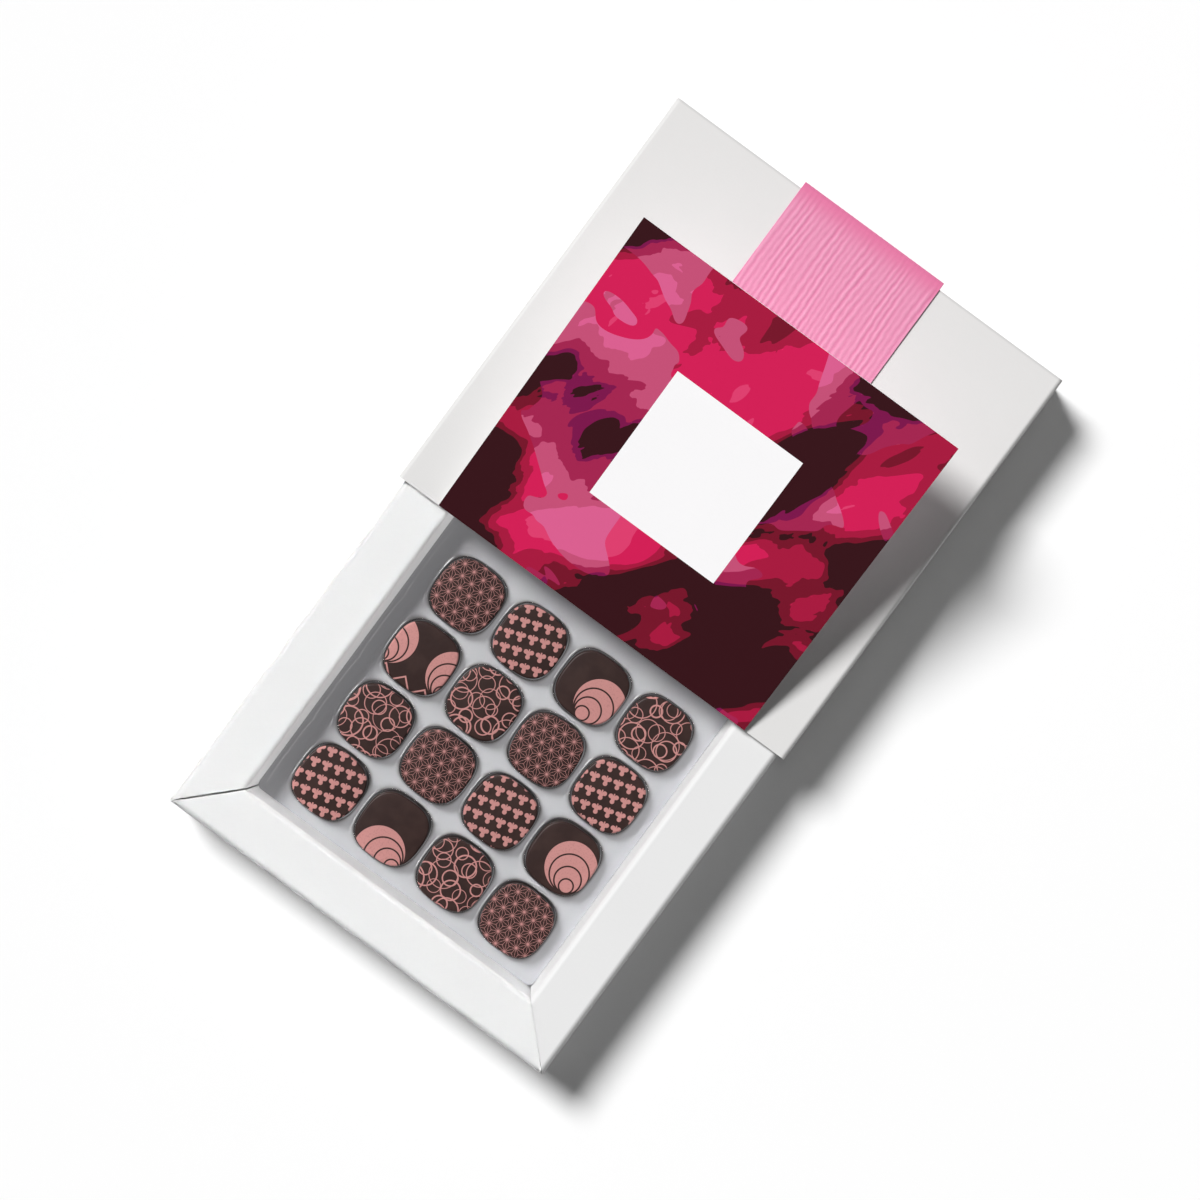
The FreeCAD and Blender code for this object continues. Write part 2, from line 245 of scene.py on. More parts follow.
class GroupBuilder:
    """Start a shader node group with named inputs and outputs."""

    KINDS = {"vector": "NodeSocketVector", "value": "NodeSocketFloat", "colour": "NodeSocketColor"}

    def __init__(self, name: str, inputs: dict[str, str], outputs: dict[str, str]) -> None:
        """Make the group's tree and its sockets.

        Args:
            name: The group's name.
            inputs: Kinds of its inputs, by name.
            outputs: Kinds of its outputs, by name.
        """
        self.tree = bpy.data.node_groups.new(name, "ShaderNodeTree")
        for sockets, way in ((inputs, "INPUT"), (outputs, "OUTPUT")):
            for socket, kind in sockets.items():
                self.tree.interface.new_socket(socket, in_out=way, socket_type=self.KINDS[kind])
        self.graph = NodeGraph(self.tree)
        self.given = self.graph.add("NodeGroupInput").outputs
        self.result = self.graph.add("NodeGroupOutput").inputs

    def finish(self, **values: Socket) -> bpy.types.NodeTree:
        """Join the outputs.

        Args:
            values: What each output gives, by name.

        Returns:
            The group.
        """
        for name, value in values.items():
            self.graph.feed(self.result[name], value)
        return self.tree


@dataclass(frozen=True)
class PaperGrain:
    """The grain of pressed paper: long faint fibres over a fine tooth and a slow cloud.

    Attributes:
        fibre: The fibres.
        stretch: How the place is scaled so that they lie long.
        tooth: The tooth.
        cloud: The cloud.
        shares: Shares of the fibres and the tooth in the relief.
        shades: How far the relief and the cloud lighten the tint.
        ground: The tint where both are nought.
    """

    fibre: Noise = Noise(0.7, 4.0)
    stretch: Triple = (0.5, 1.4, 1.4)
    tooth: Noise = Noise(0.17)
    cloud: Noise = Noise(28.0)
    shares: tuple[float, float] = (0.6, 0.4)
    shades: tuple[float, float] = (0.035, 0.03)
    ground: float = 0.968

    def build(self) -> bpy.types.NodeTree:
        """Make the group.

        Returns:
            A group that takes a place in millimetres. Its Tint is near 1, for the paper's colour to
            be multiplied by, and its Height is the fibres' relief.
        """
        build = GroupBuilder("paper_grain", {"Place": "vector"}, {"Tint": "colour", "Height": "value"})
        graph = build.graph
        place = build.given["Place"]
        fibres = graph.noise(graph.vector("MULTIPLY", place, self.stretch), self.fibre)
        tooth = graph.math("MULTIPLY", graph.noise(place, self.tooth), self.shares[1])
        height = graph.math("MULTIPLY_ADD", fibres, self.shares[0], tooth)
        cloud = graph.math("MULTIPLY_ADD", graph.noise(place, self.cloud), self.shades[1], self.ground)
        shade = graph.math("MULTIPLY_ADD", height, self.shades[0], cloud)
        return build.finish(Tint=graph.grey(shade), Height=height)


def lattice_group() -> bpy.types.NodeTree:
    """Make a lattice in which every second row may be moved along.

    The plane is folded twice, once for the even and once for the odd rows, and the fold whose
    point lies nearer is kept.

    Returns:
        A group that takes a place, a pitch, a row height and the share of the pitch by which the
        odd rows are moved, and puts out the place as seen from the nearest lattice point.
    """
    inputs = {"Place": "vector", "Pitch": "value", "Row": "value", "Shift": "value"}
    build = GroupBuilder("row_lattice", inputs, {"Local": "vector"})
    graph = build.graph
    double_row = graph.math("MULTIPLY", build.given["Row"], 2.0)
    sides = {"X": build.given["Pitch"], "Y": double_row, "Z": 1.0}
    cell = graph.add("ShaderNodeCombineXYZ", sides).outputs[0]
    flat = graph.vector("MULTIPLY", build.given["Place"], (1.0, 1.0, 0.0))
    middle = (0.5, 0.5, 0.0)

    def fold(place: Socket) -> Socket:
        """Fold the plane into one cell about its middle.

        Args:
            place: The place.

        Returns:
            The place as seen from the middle of its cell.
        """
        share = graph.vector("ADD", graph.vector("DIVIDE", place, cell), middle)
        part = graph.vector("SUBTRACT", graph.vector("FRACTION", share), middle)
        return graph.vector("MULTIPLY", part, cell)

    even = fold(flat)
    aside = graph.add("ShaderNodeCombineXYZ", {"X": build.given["Shift"], "Y": 0.5}).outputs[0]
    odd = fold(graph.vector("ADD", flat, graph.vector("MULTIPLY", cell, aside)))
    nearer = graph.math("LESS_THAN", graph.length(odd), graph.length(even))
    return build.finish(Local=graph.blend("Vector", nearer, (even, odd), data_type="VECTOR"))


# Prints on the chocolates
class Print(Enum):
    """The designs on the chocolates' tops."""

    STARS = "stars"
    TREFOILS = "trefoils"
    RINGS = "rings"
    DISC = "disc"
    TWO_DISCS = "two_discs"


@dataclass
class PrintDesigns:
    """The groups that draw the designs, as masks that are 1 where there is print.

    Sizes are millimetres unless said otherwise.

    Attributes:
        blur: How softly a printed edge ends.
        star_pitch: Distance between stars.
        star_rays: Number of a star's rays.
        star_line: Half the width of its rays.
        star_break: Radius at which the rays are cut.
        trefoil_pitch: Distance between trefoils along a row.
        trefoil_row: Distance between rows of trefoils.
        lobe: Radius of a trefoil's lobes.
        lobe_reach: How far from a trefoil's middle its lobes' middles lie.
        heart: Radius of a trefoil's middle.
        stem: Half the width of its stem, and the stem's length.
        ring_cells: Cell sizes of the layers of rings.
        ring_start: Where each layer starts, in cells.
        ring_turn: How far each layer is turned from the last, in radians.
        ring_scatter: How far the rings' middles are scattered, from 0 to 1.
        ring_radius: A ring's least radius and how much more it may be, in cells.
        ring_weight: Its least weight of line and how much more it may be.
        ring_line: Half the width of its line at a weight of 1.
        disc_radius: Radius of a disc.
        disc_circles: Radii of the bare circles inside a disc, which all touch its edge at one place.
        disc_line: Half the width of those circles.
        disc_reach: How far from the middle the paired discs lie.
        zigzag: Distance between the zigzag's peaks under them, and half the width of its line.
        zigzag_peak: A peak of the zigzag.
        lattice: The group that folds the plane into a lattice.
    """

    blur: float = 0.06
    star_pitch: float = 3.5
    star_rays: int = 12
    star_line: float = 0.023
    star_break: float = 1.35
    trefoil_pitch: float = 3.57
    trefoil_row: float = 4.2
    lobe: float = 0.7
    lobe_reach: float = 0.98
    heart: float = 0.7
    stem: tuple[float, float] = (0.2, 1.4)
    ring_cells: tuple[float, ...] = (9.8, 8.2, 5.6)
    ring_start: tuple[float, float] = (3.7, 1.3)
    ring_turn: float = 0.6
    ring_scatter: float = 0.12
    ring_radius: tuple[float, float] = (0.29, 0.15)
    ring_weight: tuple[float, float] = (0.6, 0.9)
    ring_line: float = 0.13
    disc_radius: float = 7.6
    disc_circles: tuple[float, ...] = (5.7, 3.9, 2.1)
    disc_line: float = 0.26
    disc_reach: float = 10.4
    zigzag: tuple[float, float] = (6.7, 0.3)
    zigzag_peak: tuple[float, float] = (-0.7, -7.2)
    lattice: bpy.types.NodeTree = field(default_factory=lattice_group)

    def start(self, design: Print) -> GroupBuilder:
        """Start the group of one design."""
        return GroupBuilder(f"print_{design.value}", {"Place": "vector"}, {"Mask": "value"})

    def within(self, graph: NodeGraph, distance: Socket, radius: float) -> Socket:
        """Give 1 within a radius, ending softly at it."""
        return graph.step(distance, radius, radius - self.blur)

    def line(self, graph: NodeGraph, gap: Socket, half_width: float) -> Socket:
        """Give 1 on a line, from the distance to its middle, ending softly outside it."""
        return graph.step(gap, half_width + self.blur, half_width)

    def seen_from_lattice(
        self, build: GroupBuilder, pitch: float, row: float, shift: float
    ) -> tuple[Socket, Socket]:
        """Give the distance and direction from the nearest point of a lattice.

        Args:
            build: The group at work.
            pitch: Distance between points along a row.
            row: Distance between rows.
            shift: Share of the pitch by which every second row is moved.

        Returns:
            The distance, and the angle from +Y in radians.
        """
        graph = build.graph
        values = {"Place": build.given["Place"], "Pitch": pitch, "Row": row, "Shift": shift}
        local = graph.group(self.lattice, values)["Local"]
        parts = graph.parts(local)
        return graph.length(local), graph.math("ARCTAN2", parts["X"], parts["Y"])

    def stars(self) -> bpy.types.NodeTree:
        """Draw a lattice of stars whose rays run towards their neighbours'.

        For twelve rays, the distance to the nearest one is the radius times the sine of six times
        the angle, over six.

        Returns:
            The group, whose Mask is 1 where there is print.
        """
        build = self.start(Print.STARS)
        graph = build.graph
        row = self.star_pitch * math.sqrt(3) / 2
        radius, angle = self.seen_from_lattice(build, self.star_pitch, row, 0.5)
        half_rays = self.star_rays / 2
        wave = graph.math("ABSOLUTE", graph.math("SINE", graph.math("MULTIPLY", angle, half_rays)))
        gap = graph.math("DIVIDE", graph.math("MULTIPLY", radius, wave), half_rays)
        rays = self.line(graph, gap, self.star_line)
        cut = graph.gap(radius, self.star_break)
        kept = graph.step(cut, self.star_line, self.star_line + self.blur)
        return build.finish(Mask=graph.math("MULTIPLY", rays, kept))

    def trefoils(self) -> bpy.types.NodeTree:
        """Draw rows of trefoils, each of three round lobes, a middle and a stem.

        The angle is folded into the third of a turn about the nearest lobe, and the distance to
        the lobe's middle follows from the cosine rule.

        Returns:
            The group, whose Mask is 1 where there is print.
        """
        build = self.start(Print.TREFOILS)
        graph = build.graph
        radius, angle = self.seen_from_lattice(build, self.trefoil_pitch, self.trefoil_row, 0.0)
        sixth = math.pi / 3
        folded = graph.math("SUBTRACT", graph.math("WRAP", angle, 2 * sixth, 0.0), sixth)
        along = graph.math("MULTIPLY", radius, graph.math("COSINE", folded))
        square = graph.math("MULTIPLY_ADD", radius, radius, self.lobe_reach**2)
        gap = graph.math("SQRT", graph.math("MULTIPLY_ADD", along, -2 * self.lobe_reach, square))
        lobes = self.within(graph, gap, self.lobe)
        mask = graph.math("MAXIMUM", lobes, self.within(graph, radius, self.heart))
        aside = graph.math("ABSOLUTE", graph.math("MULTIPLY", radius, graph.math("SINE", angle)))
        ahead = graph.math("MULTIPLY", radius, graph.math("COSINE", angle))
        half_width, length = self.stem
        stem = graph.math("LESS_THAN", aside, half_width)
        stem = graph.math("MULTIPLY", stem, graph.math("GREATER_THAN", ahead, 0.0))
        stem = graph.math("MULTIPLY", stem, graph.math("LESS_THAN", ahead, length))
        return build.finish(Mask=graph.math("MAXIMUM", mask, stem))

    def rings(self) -> bpy.types.NodeTree:
        """Draw scattered rings in layers that cross each other.

        In each layer a ring stands about every scattered point, with a radius and a weight of its
        own. Each layer is turned from the last.

        Returns:
            The group, whose Mask is 1 where there is print.
        """
        build = self.start(Print.RINGS)
        graph = build.graph
        start_x, start_y = self.ring_start
        mask = 0.0
        for layer, cell in enumerate(self.ring_cells):
            moved = graph.vector("ADD", build.given["Place"], (cell * start_x, cell * start_y, 0.0))
            turned = graph.turned(moved, layer * self.ring_turn)
            inputs = {"Vector": turned, "Scale": 1 / cell, "Randomness": self.ring_scatter}
            points = graph.add("ShaderNodeTexVoronoi", inputs, voronoi_dimensions="2D").outputs
            chance = graph.add("ShaderNodeSeparateColor", {0: points["Color"]}).outputs
            radius = graph.math("MULTIPLY_ADD", chance[0], self.ring_radius[1], self.ring_radius[0])
            weight = graph.math("MULTIPLY_ADD", chance[1], self.ring_weight[1], self.ring_weight[0])
            drawn = graph.math("DIVIDE", graph.gap(points["Distance"], radius), weight)
            line = graph.step(drawn, (self.ring_line + self.blur) / cell, self.ring_line / cell)
            mask = graph.math("MAXIMUM", mask, line)
        return build.finish(Mask=mask)

    def disc_mask(self, graph: NodeGraph, place: Socket) -> Socket:
        """Draw a disc about the origin with bare circles in it, which touch its edge at its foot.

        Args:
            graph: The tree to work in.
            place: The place.

        Returns:
            The mask.
        """
        flat = graph.vector("MULTIPLY", place, (1.0, 1.0, 0.0))
        mask = self.within(graph, graph.length(flat), self.disc_radius)
        for circle in self.disc_circles:
            seen = graph.vector("ADD", flat, (0.0, self.disc_radius - circle, 0.0))
            gap = graph.gap(graph.length(seen), circle)
            bare = graph.step(gap, self.disc_line - self.blur, self.disc_line)
            mask = graph.math("MULTIPLY", mask, bare)
        return mask

    def disc(self) -> bpy.types.NodeTree:
        """Draw one disc."""
        build = self.start(Print.DISC)
        return build.finish(Mask=self.disc_mask(build.graph, build.given["Place"]))

    def two_discs(self) -> bpy.types.NodeTree:
        """Draw two discs on opposite sides, each the mirror image of the other, over a zigzag.

        Returns:
            The group, whose Mask is 1 where there is print.
        """
        build = self.start(Print.TWO_DISCS)
        graph = build.graph
        parts = graph.parts(build.given["Place"])
        mirrored = graph.math("SUBTRACT", graph.math("ABSOLUTE", parts["X"]), self.disc_reach)
        place = graph.add("ShaderNodeCombineXYZ", {"X": mirrored, "Y": parts["Y"]}).outputs[0]
        pitch, half_width = self.zigzag
        peak_x, peak_y = self.zigzag_peak
        aside = graph.math("SUBTRACT", parts["X"], peak_x)
        fall = graph.math("ABSOLUTE", graph.math("WRAP", aside, pitch / 2, -pitch / 2))
        above = graph.math("SUBTRACT", parts["Y"], peak_y)
        gap = graph.math("ABSOLUTE", graph.math("ADD", fall, above))
        peaks = self.line(graph, gap, half_width)
        return build.finish(Mask=graph.math("MAXIMUM", self.disc_mask(graph, place), peaks))

    def build(self) -> dict[Print, bpy.types.NodeTree]:
        """Draw every design.

        Returns:
            The groups, by design.
        """
        makers = {
            Print.STARS: self.stars,
            Print.TREFOILS: self.trefoils,
            Print.RINGS: self.rings,
            Print.DISC: self.disc,
            Print.TWO_DISCS: self.two_discs,
        }
        return {design: make() for design, make in makers.items()}


# Finishes
class Finish:
    """A material with one main shader, and the ways its finishes share to fill it."""

    def __init__(self, name: str) -> None:
        """Start the material with a Principled shader and its output.

        Args:
            name: The material's name.
        """
        self.material = bpy.data.materials.new(name)
        self.material.use_nodes = True
        self.material.node_tree.nodes.clear()
        self.graph = NodeGraph(self.material.node_tree)
        self.shader = self.graph.add("ShaderNodeBsdfPrincipled")
        self.graph.add("ShaderNodeOutputMaterial", {"Surface": self.shader.outputs[0]})

    def set(self, values: dict[str, Value]) -> None:
        """Set the main shader's inputs by name."""
        for name, value in values.items():
            self.graph.feed(self.shader.inputs[name], value)

    def dress(self, colour: Value, roughness: Value, sheen: float) -> None:
        """Set the surface.

        Args:
            colour: Its colour.
            roughness: Its roughness.
            sheen: Strength of its gloss.
        """
        self.set({"Base Color": colour, "Roughness": roughness, "Specular IOR Level": sheen})

    def place(self) -> Socket:
        """Give the place on the object, in millimetres."""
        return self.graph.scaled(self.graph.add("ShaderNodeTexCoord").outputs["Object"], 1 / MM)

    def attribute(self, name: str) -> Socket:
        """Give a number that the mesh carries under this name."""
        return self.graph.add("ShaderNodeAttribute", attribute_name=name).outputs["Fac"]

    def relief(self, height: Socket, depth: float) -> None:
        """Raise the surface by a height from 0 to 1.

        Args:
            height: The height.
            depth: What a height of 1 stands for, in metres.
        """
        inputs = {"Height": height, "Distance": depth, "Strength": 1.0}
        self.set({"Normal": self.graph.add("ShaderNodeBump", inputs).outputs[0]})


@dataclass(frozen=True)
class BoardFinish:
    """White uncoated board.

    Attributes:
        name: The material's name.
        colour: The board's colour.
        roughness: Its roughness.
        sheen: Strength of its gloss.
        relief: Depth of its grain.
        crease: Strength of the painted shade on a fold, where the board turns from level to upright.
        seam: How much darker it is along a seam.
        seam_width: Width of the shade along a seam, in millimetres.
    """

    name: str
    colour: Colour
    roughness: float = 0.62
    sheen: float = 0.3
    relief: float = 0.02 * MM
    crease: float = 0.14
    seam: float = 0.2
    seam_width: float = 0.9

    def make(self, paper: bpy.types.NodeTree, back: float | None = None) -> bpy.types.Material:
        """Make the material.

        On a fold the surface turns from level to upright. The squared sine of twice its angle is
        nought on either face and one half way round.

        Args:
            paper: The grain of paper.
            back: Where the board meets a back panel with a seam, if it does.

        Returns:
            The material.
        """
        finish = Finish(self.name)
        graph = finish.graph
        place = finish.place()
        grain = graph.group(paper, {"Place": place})
        rise = graph.parts(graph.add("ShaderNodeTexCoord").outputs["Normal"])["Z"]
        level = graph.math("MULTIPLY", rise, rise)
        fold = graph.math("MULTIPLY", level, graph.math("SUBTRACT", 1.0, level))
        # Painted shade on the board's folds, strongest half way round the turn.
        shade = graph.math("MULTIPLY", fold, 4.0 * self.crease)
        if back is not None:
            seam = graph.step(graph.parts(place)["Y"], back / MM - self.seam_width, back / MM)
            shade = graph.math("MULTIPLY_ADD", graph.math("MULTIPLY", seam, level), self.seam, shade)
        tint = graph.scaled(grain["Tint"], graph.math("SUBTRACT", 1.0, shade))
        finish.dress(graph.tinted(self.colour, tint), self.roughness, self.sheen)
        finish.relief(grain["Height"], self.relief)
        return finish.material


@dataclass(frozen=True)
class CardFinish:
    """A card printed with flat drifting patches of reds and pinks about a bare square.

    Attributes:
        paper_colour: The bare paper.
        reds: One family of inks, with the noise level at which each one starts.
        pinks: The other family.
        patch: The patches.
        ragged: The raggedness of their edges.
        rag_share: How much of it they take.
        family: The regions of each family of inks.
        family_level: The level over which the pinks are printed.
        streak: How much longer than broad the patches are drawn, as a scale along them.
        streak_turn: How far the patches' long way is turned, in radians.
        square: Half the bare square's side, in millimetres.
        square_middle: The square's middle on the card, in millimetres from the crease's middle.
        printed_from: Height over the crease from which the card is printed, in millimetres.
        roughness: The card's roughness.
        sheen: Strength of its gloss.
        relief: Depth of its grain.
    """

    paper_colour: Colour = linear(253, 252, 253)
    reds: Inks = (
        (0.0, linear(54, 12, 20)),
        (0.47, linear(120, 14, 40)),
        (0.505, linear(170, 20, 62)),
        (0.56, linear(214, 26, 86)),
        (0.655, linear(226, 62, 112)),
    )
    pinks: Inks = (
        (0.0, linear(54, 12, 20)),
        (0.45, linear(126, 15, 76)),
        (0.475, linear(166, 34, 80)),
        (0.54, linear(200, 80, 120)),
        (0.62, linear(222, 96, 146)),
    )
    patch: Noise = Noise(34.0, 0.6, 1.2)
    ragged: Noise = Noise(11.0, 3.0, 0.6)
    rag_share: float = 0.3
    family: Noise = Noise(34.0, 2.0, 0.8)
    family_level: float = 0.54
    streak: float = 0.45
    streak_turn: float = 0.6
    square: float = 21.5
    square_middle: tuple[float, float] = (0.25, 50.75)
    printed_from: float = 0.45
    roughness: float = 0.55
    sheen: float = 0.15
    relief: float = 0.012 * MM

    def pick(self, graph: NodeGraph, level: Socket, inks: Inks) -> Socket:
        """Give the ink of a level.

        Args:
            graph: The tree to work in.
            level: The level.
            inks: The inks, with the levels at which they start.

        Returns:
            The ink's colour.
        """
        ramp = graph.add("ShaderNodeValToRGB", {0: level})
        ramp.color_ramp.interpolation = "CONSTANT"
        for start, _ in inks[2:]:
            ramp.color_ramp.elements.new(start)
        for element, (start, ink) in zip(ramp.color_ramp.elements, inks):
            element.position = start
            element.color = (*ink, 1.0)
        return ramp.outputs[0]

    def make(self, paper: bpy.types.NodeTree, crease: Vector, open_angle: float) -> bpy.types.Material:
        """Make the material.

        Args:
            paper: The grain of paper.
            crease: A point of the crease, in metres.
            open_angle: How far the card stands open, in radians.

        Returns:
            The material.
        """
        finish = Finish("printed_paper")
        graph = finish.graph
        spot = {"Vector": finish.place(), "Location": tuple(crease / MM)}
        spot["Rotation"] = (open_angle, 0.0, 0.0)
        on_card = graph.add("ShaderNodeMapping", spot, vector_type="TEXTURE").outputs[0]
        grain = graph.group(paper, {"Place": on_card})
        turned = graph.turned(on_card, self.streak_turn)
        streaked = graph.vector("MULTIPLY", turned, (1.0, self.streak, 1.0))
        rag = graph.math("SUBTRACT", graph.noise(streaked, self.ragged), 0.5)
        level = graph.math("MULTIPLY_ADD", rag, self.rag_share, graph.noise(streaked, self.patch))
        family = graph.math("GREATER_THAN", graph.noise(turned, self.family), self.family_level)
        ink = graph.mix(family, self.pick(graph, level, self.reds), self.pick(graph, level, self.pinks))
        parts = graph.parts(on_card)
        across = graph.gap(parts["X"], self.square_middle[0])
        along = graph.gap(parts["Y"], self.square_middle[1])
        outside = graph.math("GREATER_THAN", graph.math("MAXIMUM", across, along), self.square)
        upper = graph.math("GREATER_THAN", parts["Z"], self.printed_from)
        colour = graph.mix(graph.math("MULTIPLY", outside, upper), self.paper_colour, ink)
        finish.dress(graph.tinted(colour, grain["Tint"]), self.roughness, self.sheen)
        finish.relief(grain["Height"], self.relief)
        return finish.material


@dataclass(frozen=True)
class RibbonFinish:
    """Crinkled ribbon, with painted shade in its valleys and where it bends over the edge.

    Attributes:
        colour: The ribbon's colour.
        valley_shade_colour: Its colour with painted shade, in the ribs' valleys.
        bend_shade_colour: Its colour with painted shade, where it turns over the edge.
        thread: Its threads.
        stretch: How the place is scaled so that they lie long.
        thread_shade: The tint where the threads are nought, and how far they lighten it.
        roughness: Its roughness.
        sheen: Strength of its gloss.
        relief: Depth of its threads.
    """

    colour: Colour = linear(236, 163, 193)
    valley_shade_colour: Colour = linear(213, 122, 160)
    bend_shade_colour: Colour = linear(222, 118, 159)
    thread: Noise = Noise(0.9, 3.0)
    stretch: Triple = (6.0, 0.5, 0.5)
    thread_shade: tuple[float, float] = (0.92, 0.16)
    roughness: float = 0.75
    sheen: float = 0.2
    relief: float = 0.03 * MM

    def make(self) -> bpy.types.Material:
        """Make the material, its painted shade placed by the heights and bends that the mesh carries.

        Returns:
            The material.
        """
        finish = Finish("crepe")
        graph = finish.graph
        threads = graph.noise(graph.vector("MULTIPLY", finish.place(), self.stretch), self.thread)
        # Painted shade: deeper in the ribs' valleys and over the bend, where the crepe turns from the
        # light.
        colour = graph.mix(finish.attribute("rib"), self.valley_shade_colour, self.colour)
        colour = graph.mix(finish.attribute("bend"), colour, self.bend_shade_colour)
        shade = graph.math("MULTIPLY_ADD", threads, self.thread_shade[1], self.thread_shade[0])
        finish.dress(graph.tinted(colour, graph.grey(shade)), self.roughness, self.sheen)
        finish.relief(threads, self.relief)
        return finish.material


@dataclass(frozen=True)
class FilmFinish:
    """Thin formed plastic film, part clear and glossy.

    Attributes:
        colour: The film's colour.
        mouth: Painted shade and a painted reflection of the chocolate, at the mouths of the cups.
        mouth_shade_band: Depths under its top at which that colour starts, is full, fades and ends, in
            millimetres.
        cover: How much of what lies under it the film hides.
        roughness: Its mean roughness.
        bloom: The unevenness of its polish.
        bloom_share: How far that changes the roughness.
        sheen: Strength of its gloss.
        bending: How strongly it bends light.
        wave: Its waves.
        relief: Their depth.
    """

    colour: Colour = linear(174, 174, 177)
    # Painted shade and painted reflection of the chocolate, where the film bends down into the cups.
    mouth: Colour = linear(92, 87, 85)
    mouth_shade_band: tuple[float, float, float, float] = (0.02, 0.7, 1.3, 2.4)
    cover: float = 0.7
    roughness: float = 0.14
    bloom: Noise = Noise(2.2, 3.0)
    bloom_share: float = 0.12
    sheen: float = 1.0
    bending: float = 1.5
    wave: Noise = Noise(7.0)
    relief: float = 0.12 * MM

    def make(self, top: float) -> bpy.types.Material:
        """Make the material, slightly wavy and unevenly polished, with painted shade at the cups'
        mouths.

        Args:
            top: Height of the film's top.

        Returns:
            The material.
        """
        finish = Finish("clear_film")
        graph = finish.graph
        place = finish.place()
        depth = graph.math("SUBTRACT", top / MM, graph.parts(place)["Z"])
        # Painted shade and painted reflection of the chocolate, in a band just under the film's top.
        start, full, fade, end = self.mouth_shade_band
        mouth_shade = graph.math("MULTIPLY", graph.step(depth, start, full), graph.step(depth, end, fade))
        bloom = graph.noise(place, self.bloom)
        least = self.roughness - self.bloom_share / 2
        roughness = graph.math("MULTIPLY_ADD", bloom, self.bloom_share, least)
        finish.dress(graph.mix(mouth_shade, self.colour, self.mouth), roughness, self.sheen)
        finish.set({"Alpha": self.cover, "IOR": self.bending})
        finish.relief(graph.noise(place, self.wave), self.relief)
        return finish.material


@dataclass(frozen=True)
class ChocolateFinish:
    """Dark chocolate with a design printed on its top.

    Attributes:
        chocolate: The chocolate's colour.
        worn: Its colour where it has bloomed a little.
        worn_band: Levels of the swell at which the bloom starts and is full.
        ink: The print's colour.
        ink_cover: How much of the chocolate the print hides.
        uv_size: Side of the square that the mesh's flat map covers, in millimetres.
        grain: The chocolate's grain.
        swell: Its slow swells.
        wobble: The unevenness of its polish.
        shake: How far the grain thins the print.
        polish: The least roughness, and what the wobble and the print add to it.
        heights: Shares of the grain and the swell in the relief, in heights of the print.
        sheen: Strength of its gloss.
        relief: Height of the print.
    """

    chocolate: Colour = linear(51, 36, 34)
    worn: Colour = linear(58, 42, 39)
    worn_band: tuple[float, float] = (0.4, 0.68)
    ink: Colour = linear(196, 137, 133)
    ink_cover: float = 0.95
    uv_size: float = 25.0
    grain: Noise = Noise(0.5, 4.0)
    swell: Noise = Noise(6.0)
    wobble: Noise = Noise(1.1)
    shake: float = 0.8
    polish: Triple = (0.3, 0.16, 0.2)
    heights: tuple[float, float] = (0.12, 0.8)
    sheen: float = 0.2
    relief: float = 0.04 * MM

    def make(self, design: Print, tree: bpy.types.NodeTree) -> bpy.types.Material:
        """Make the material of one design.

        Args:
            design: The design.
            tree: The group that draws it.

        Returns:
            The material.
        """
        finish = Finish(f"chocolate_{design.value}")
        graph = finish.graph
        flat_map = graph.add("ShaderNodeUVMap", uv_map="print").outputs[0]
        on_top = graph.scaled(graph.vector("SUBTRACT", flat_map, (0.5, 0.5, 0.0)), self.uv_size)
        place = finish.place()
        grain = graph.noise(place, self.grain)
        swell = graph.noise(place, self.swell)
        shaken = graph.math("MULTIPLY_ADD", graph.math("SUBTRACT", grain, 0.5), self.shake, 1.0)
        mask = graph.group(tree, {"Place": on_top})["Mask"]
        mask = graph.math("MULTIPLY", mask, finish.attribute("print_area"))
        mask = graph.math("MINIMUM", graph.math("MULTIPLY", mask, shaken), 1.0)
        body = graph.mix(graph.step(swell, *self.worn_band), self.chocolate, self.worn)
        colour = graph.mix(graph.math("MULTIPLY", mask, self.ink_cover), body, self.ink)
        least, of_wobble, of_print = self.polish
        roughness = graph.math("MULTIPLY_ADD", graph.noise(place, self.wobble), of_wobble, least)
        roughness = graph.math("MULTIPLY_ADD", mask, of_print, roughness)
        height = graph.math("MULTIPLY_ADD", swell, self.heights[1], mask)
        height = graph.math("MULTIPLY_ADD", grain, self.heights[0], height)
        finish.dress(colour, roughness, self.sheen)
        finish.relief(height, self.relief)
        return finish.material


@dataclass(frozen=True)
class FloorFinish:
    """Plain pale floor.

    Attributes:
        colour: The floor's colour.
        roughness: Its roughness.
    """

    colour: Colour = (0.94, 0.94, 0.94)
    roughness: float = 0.9

    def make(self) -> bpy.types.Material:
        """Make the material.

        Returns:
            The material.
        """
        finish = Finish("pale_floor")
        finish.dress(self.colour, self.roughness, 0.0)
        return finish.material


# Meshes
def grid_faces(rows: int, columns: int, closed: bool) -> np.ndarray:
    """List the quads of a grid of points.

    Args:
        rows: Number of rows of points.
        columns: Number of points in a row.
        closed: Whether each row ends where it starts.

    Returns:
        The quads, wound so that rows going inward from a counter-clockwise loop face up.
    """
    index = np.arange(rows * columns).reshape(rows, columns)
    if closed:
        index = np.hstack([index, index[:, :1]])
    corners = (index[:-1, :-1], index[:-1, 1:], index[1:, 1:], index[1:, :-1])
    return np.stack(corners, axis=-1).reshape(-1, 4)


def lifted(flat: np.ndarray, height: float | np.ndarray) -> np.ndarray:
    """Give flat points a height.

    Args:
        flat: The points' x and y.
        height: Their one height, or heights that spread over them.

    Returns:
        Their x, y and z.
    """
    heights = np.broadcast_to(height, flat.shape[:-1])
    return np.concatenate([flat, heights[..., None]], axis=-1)


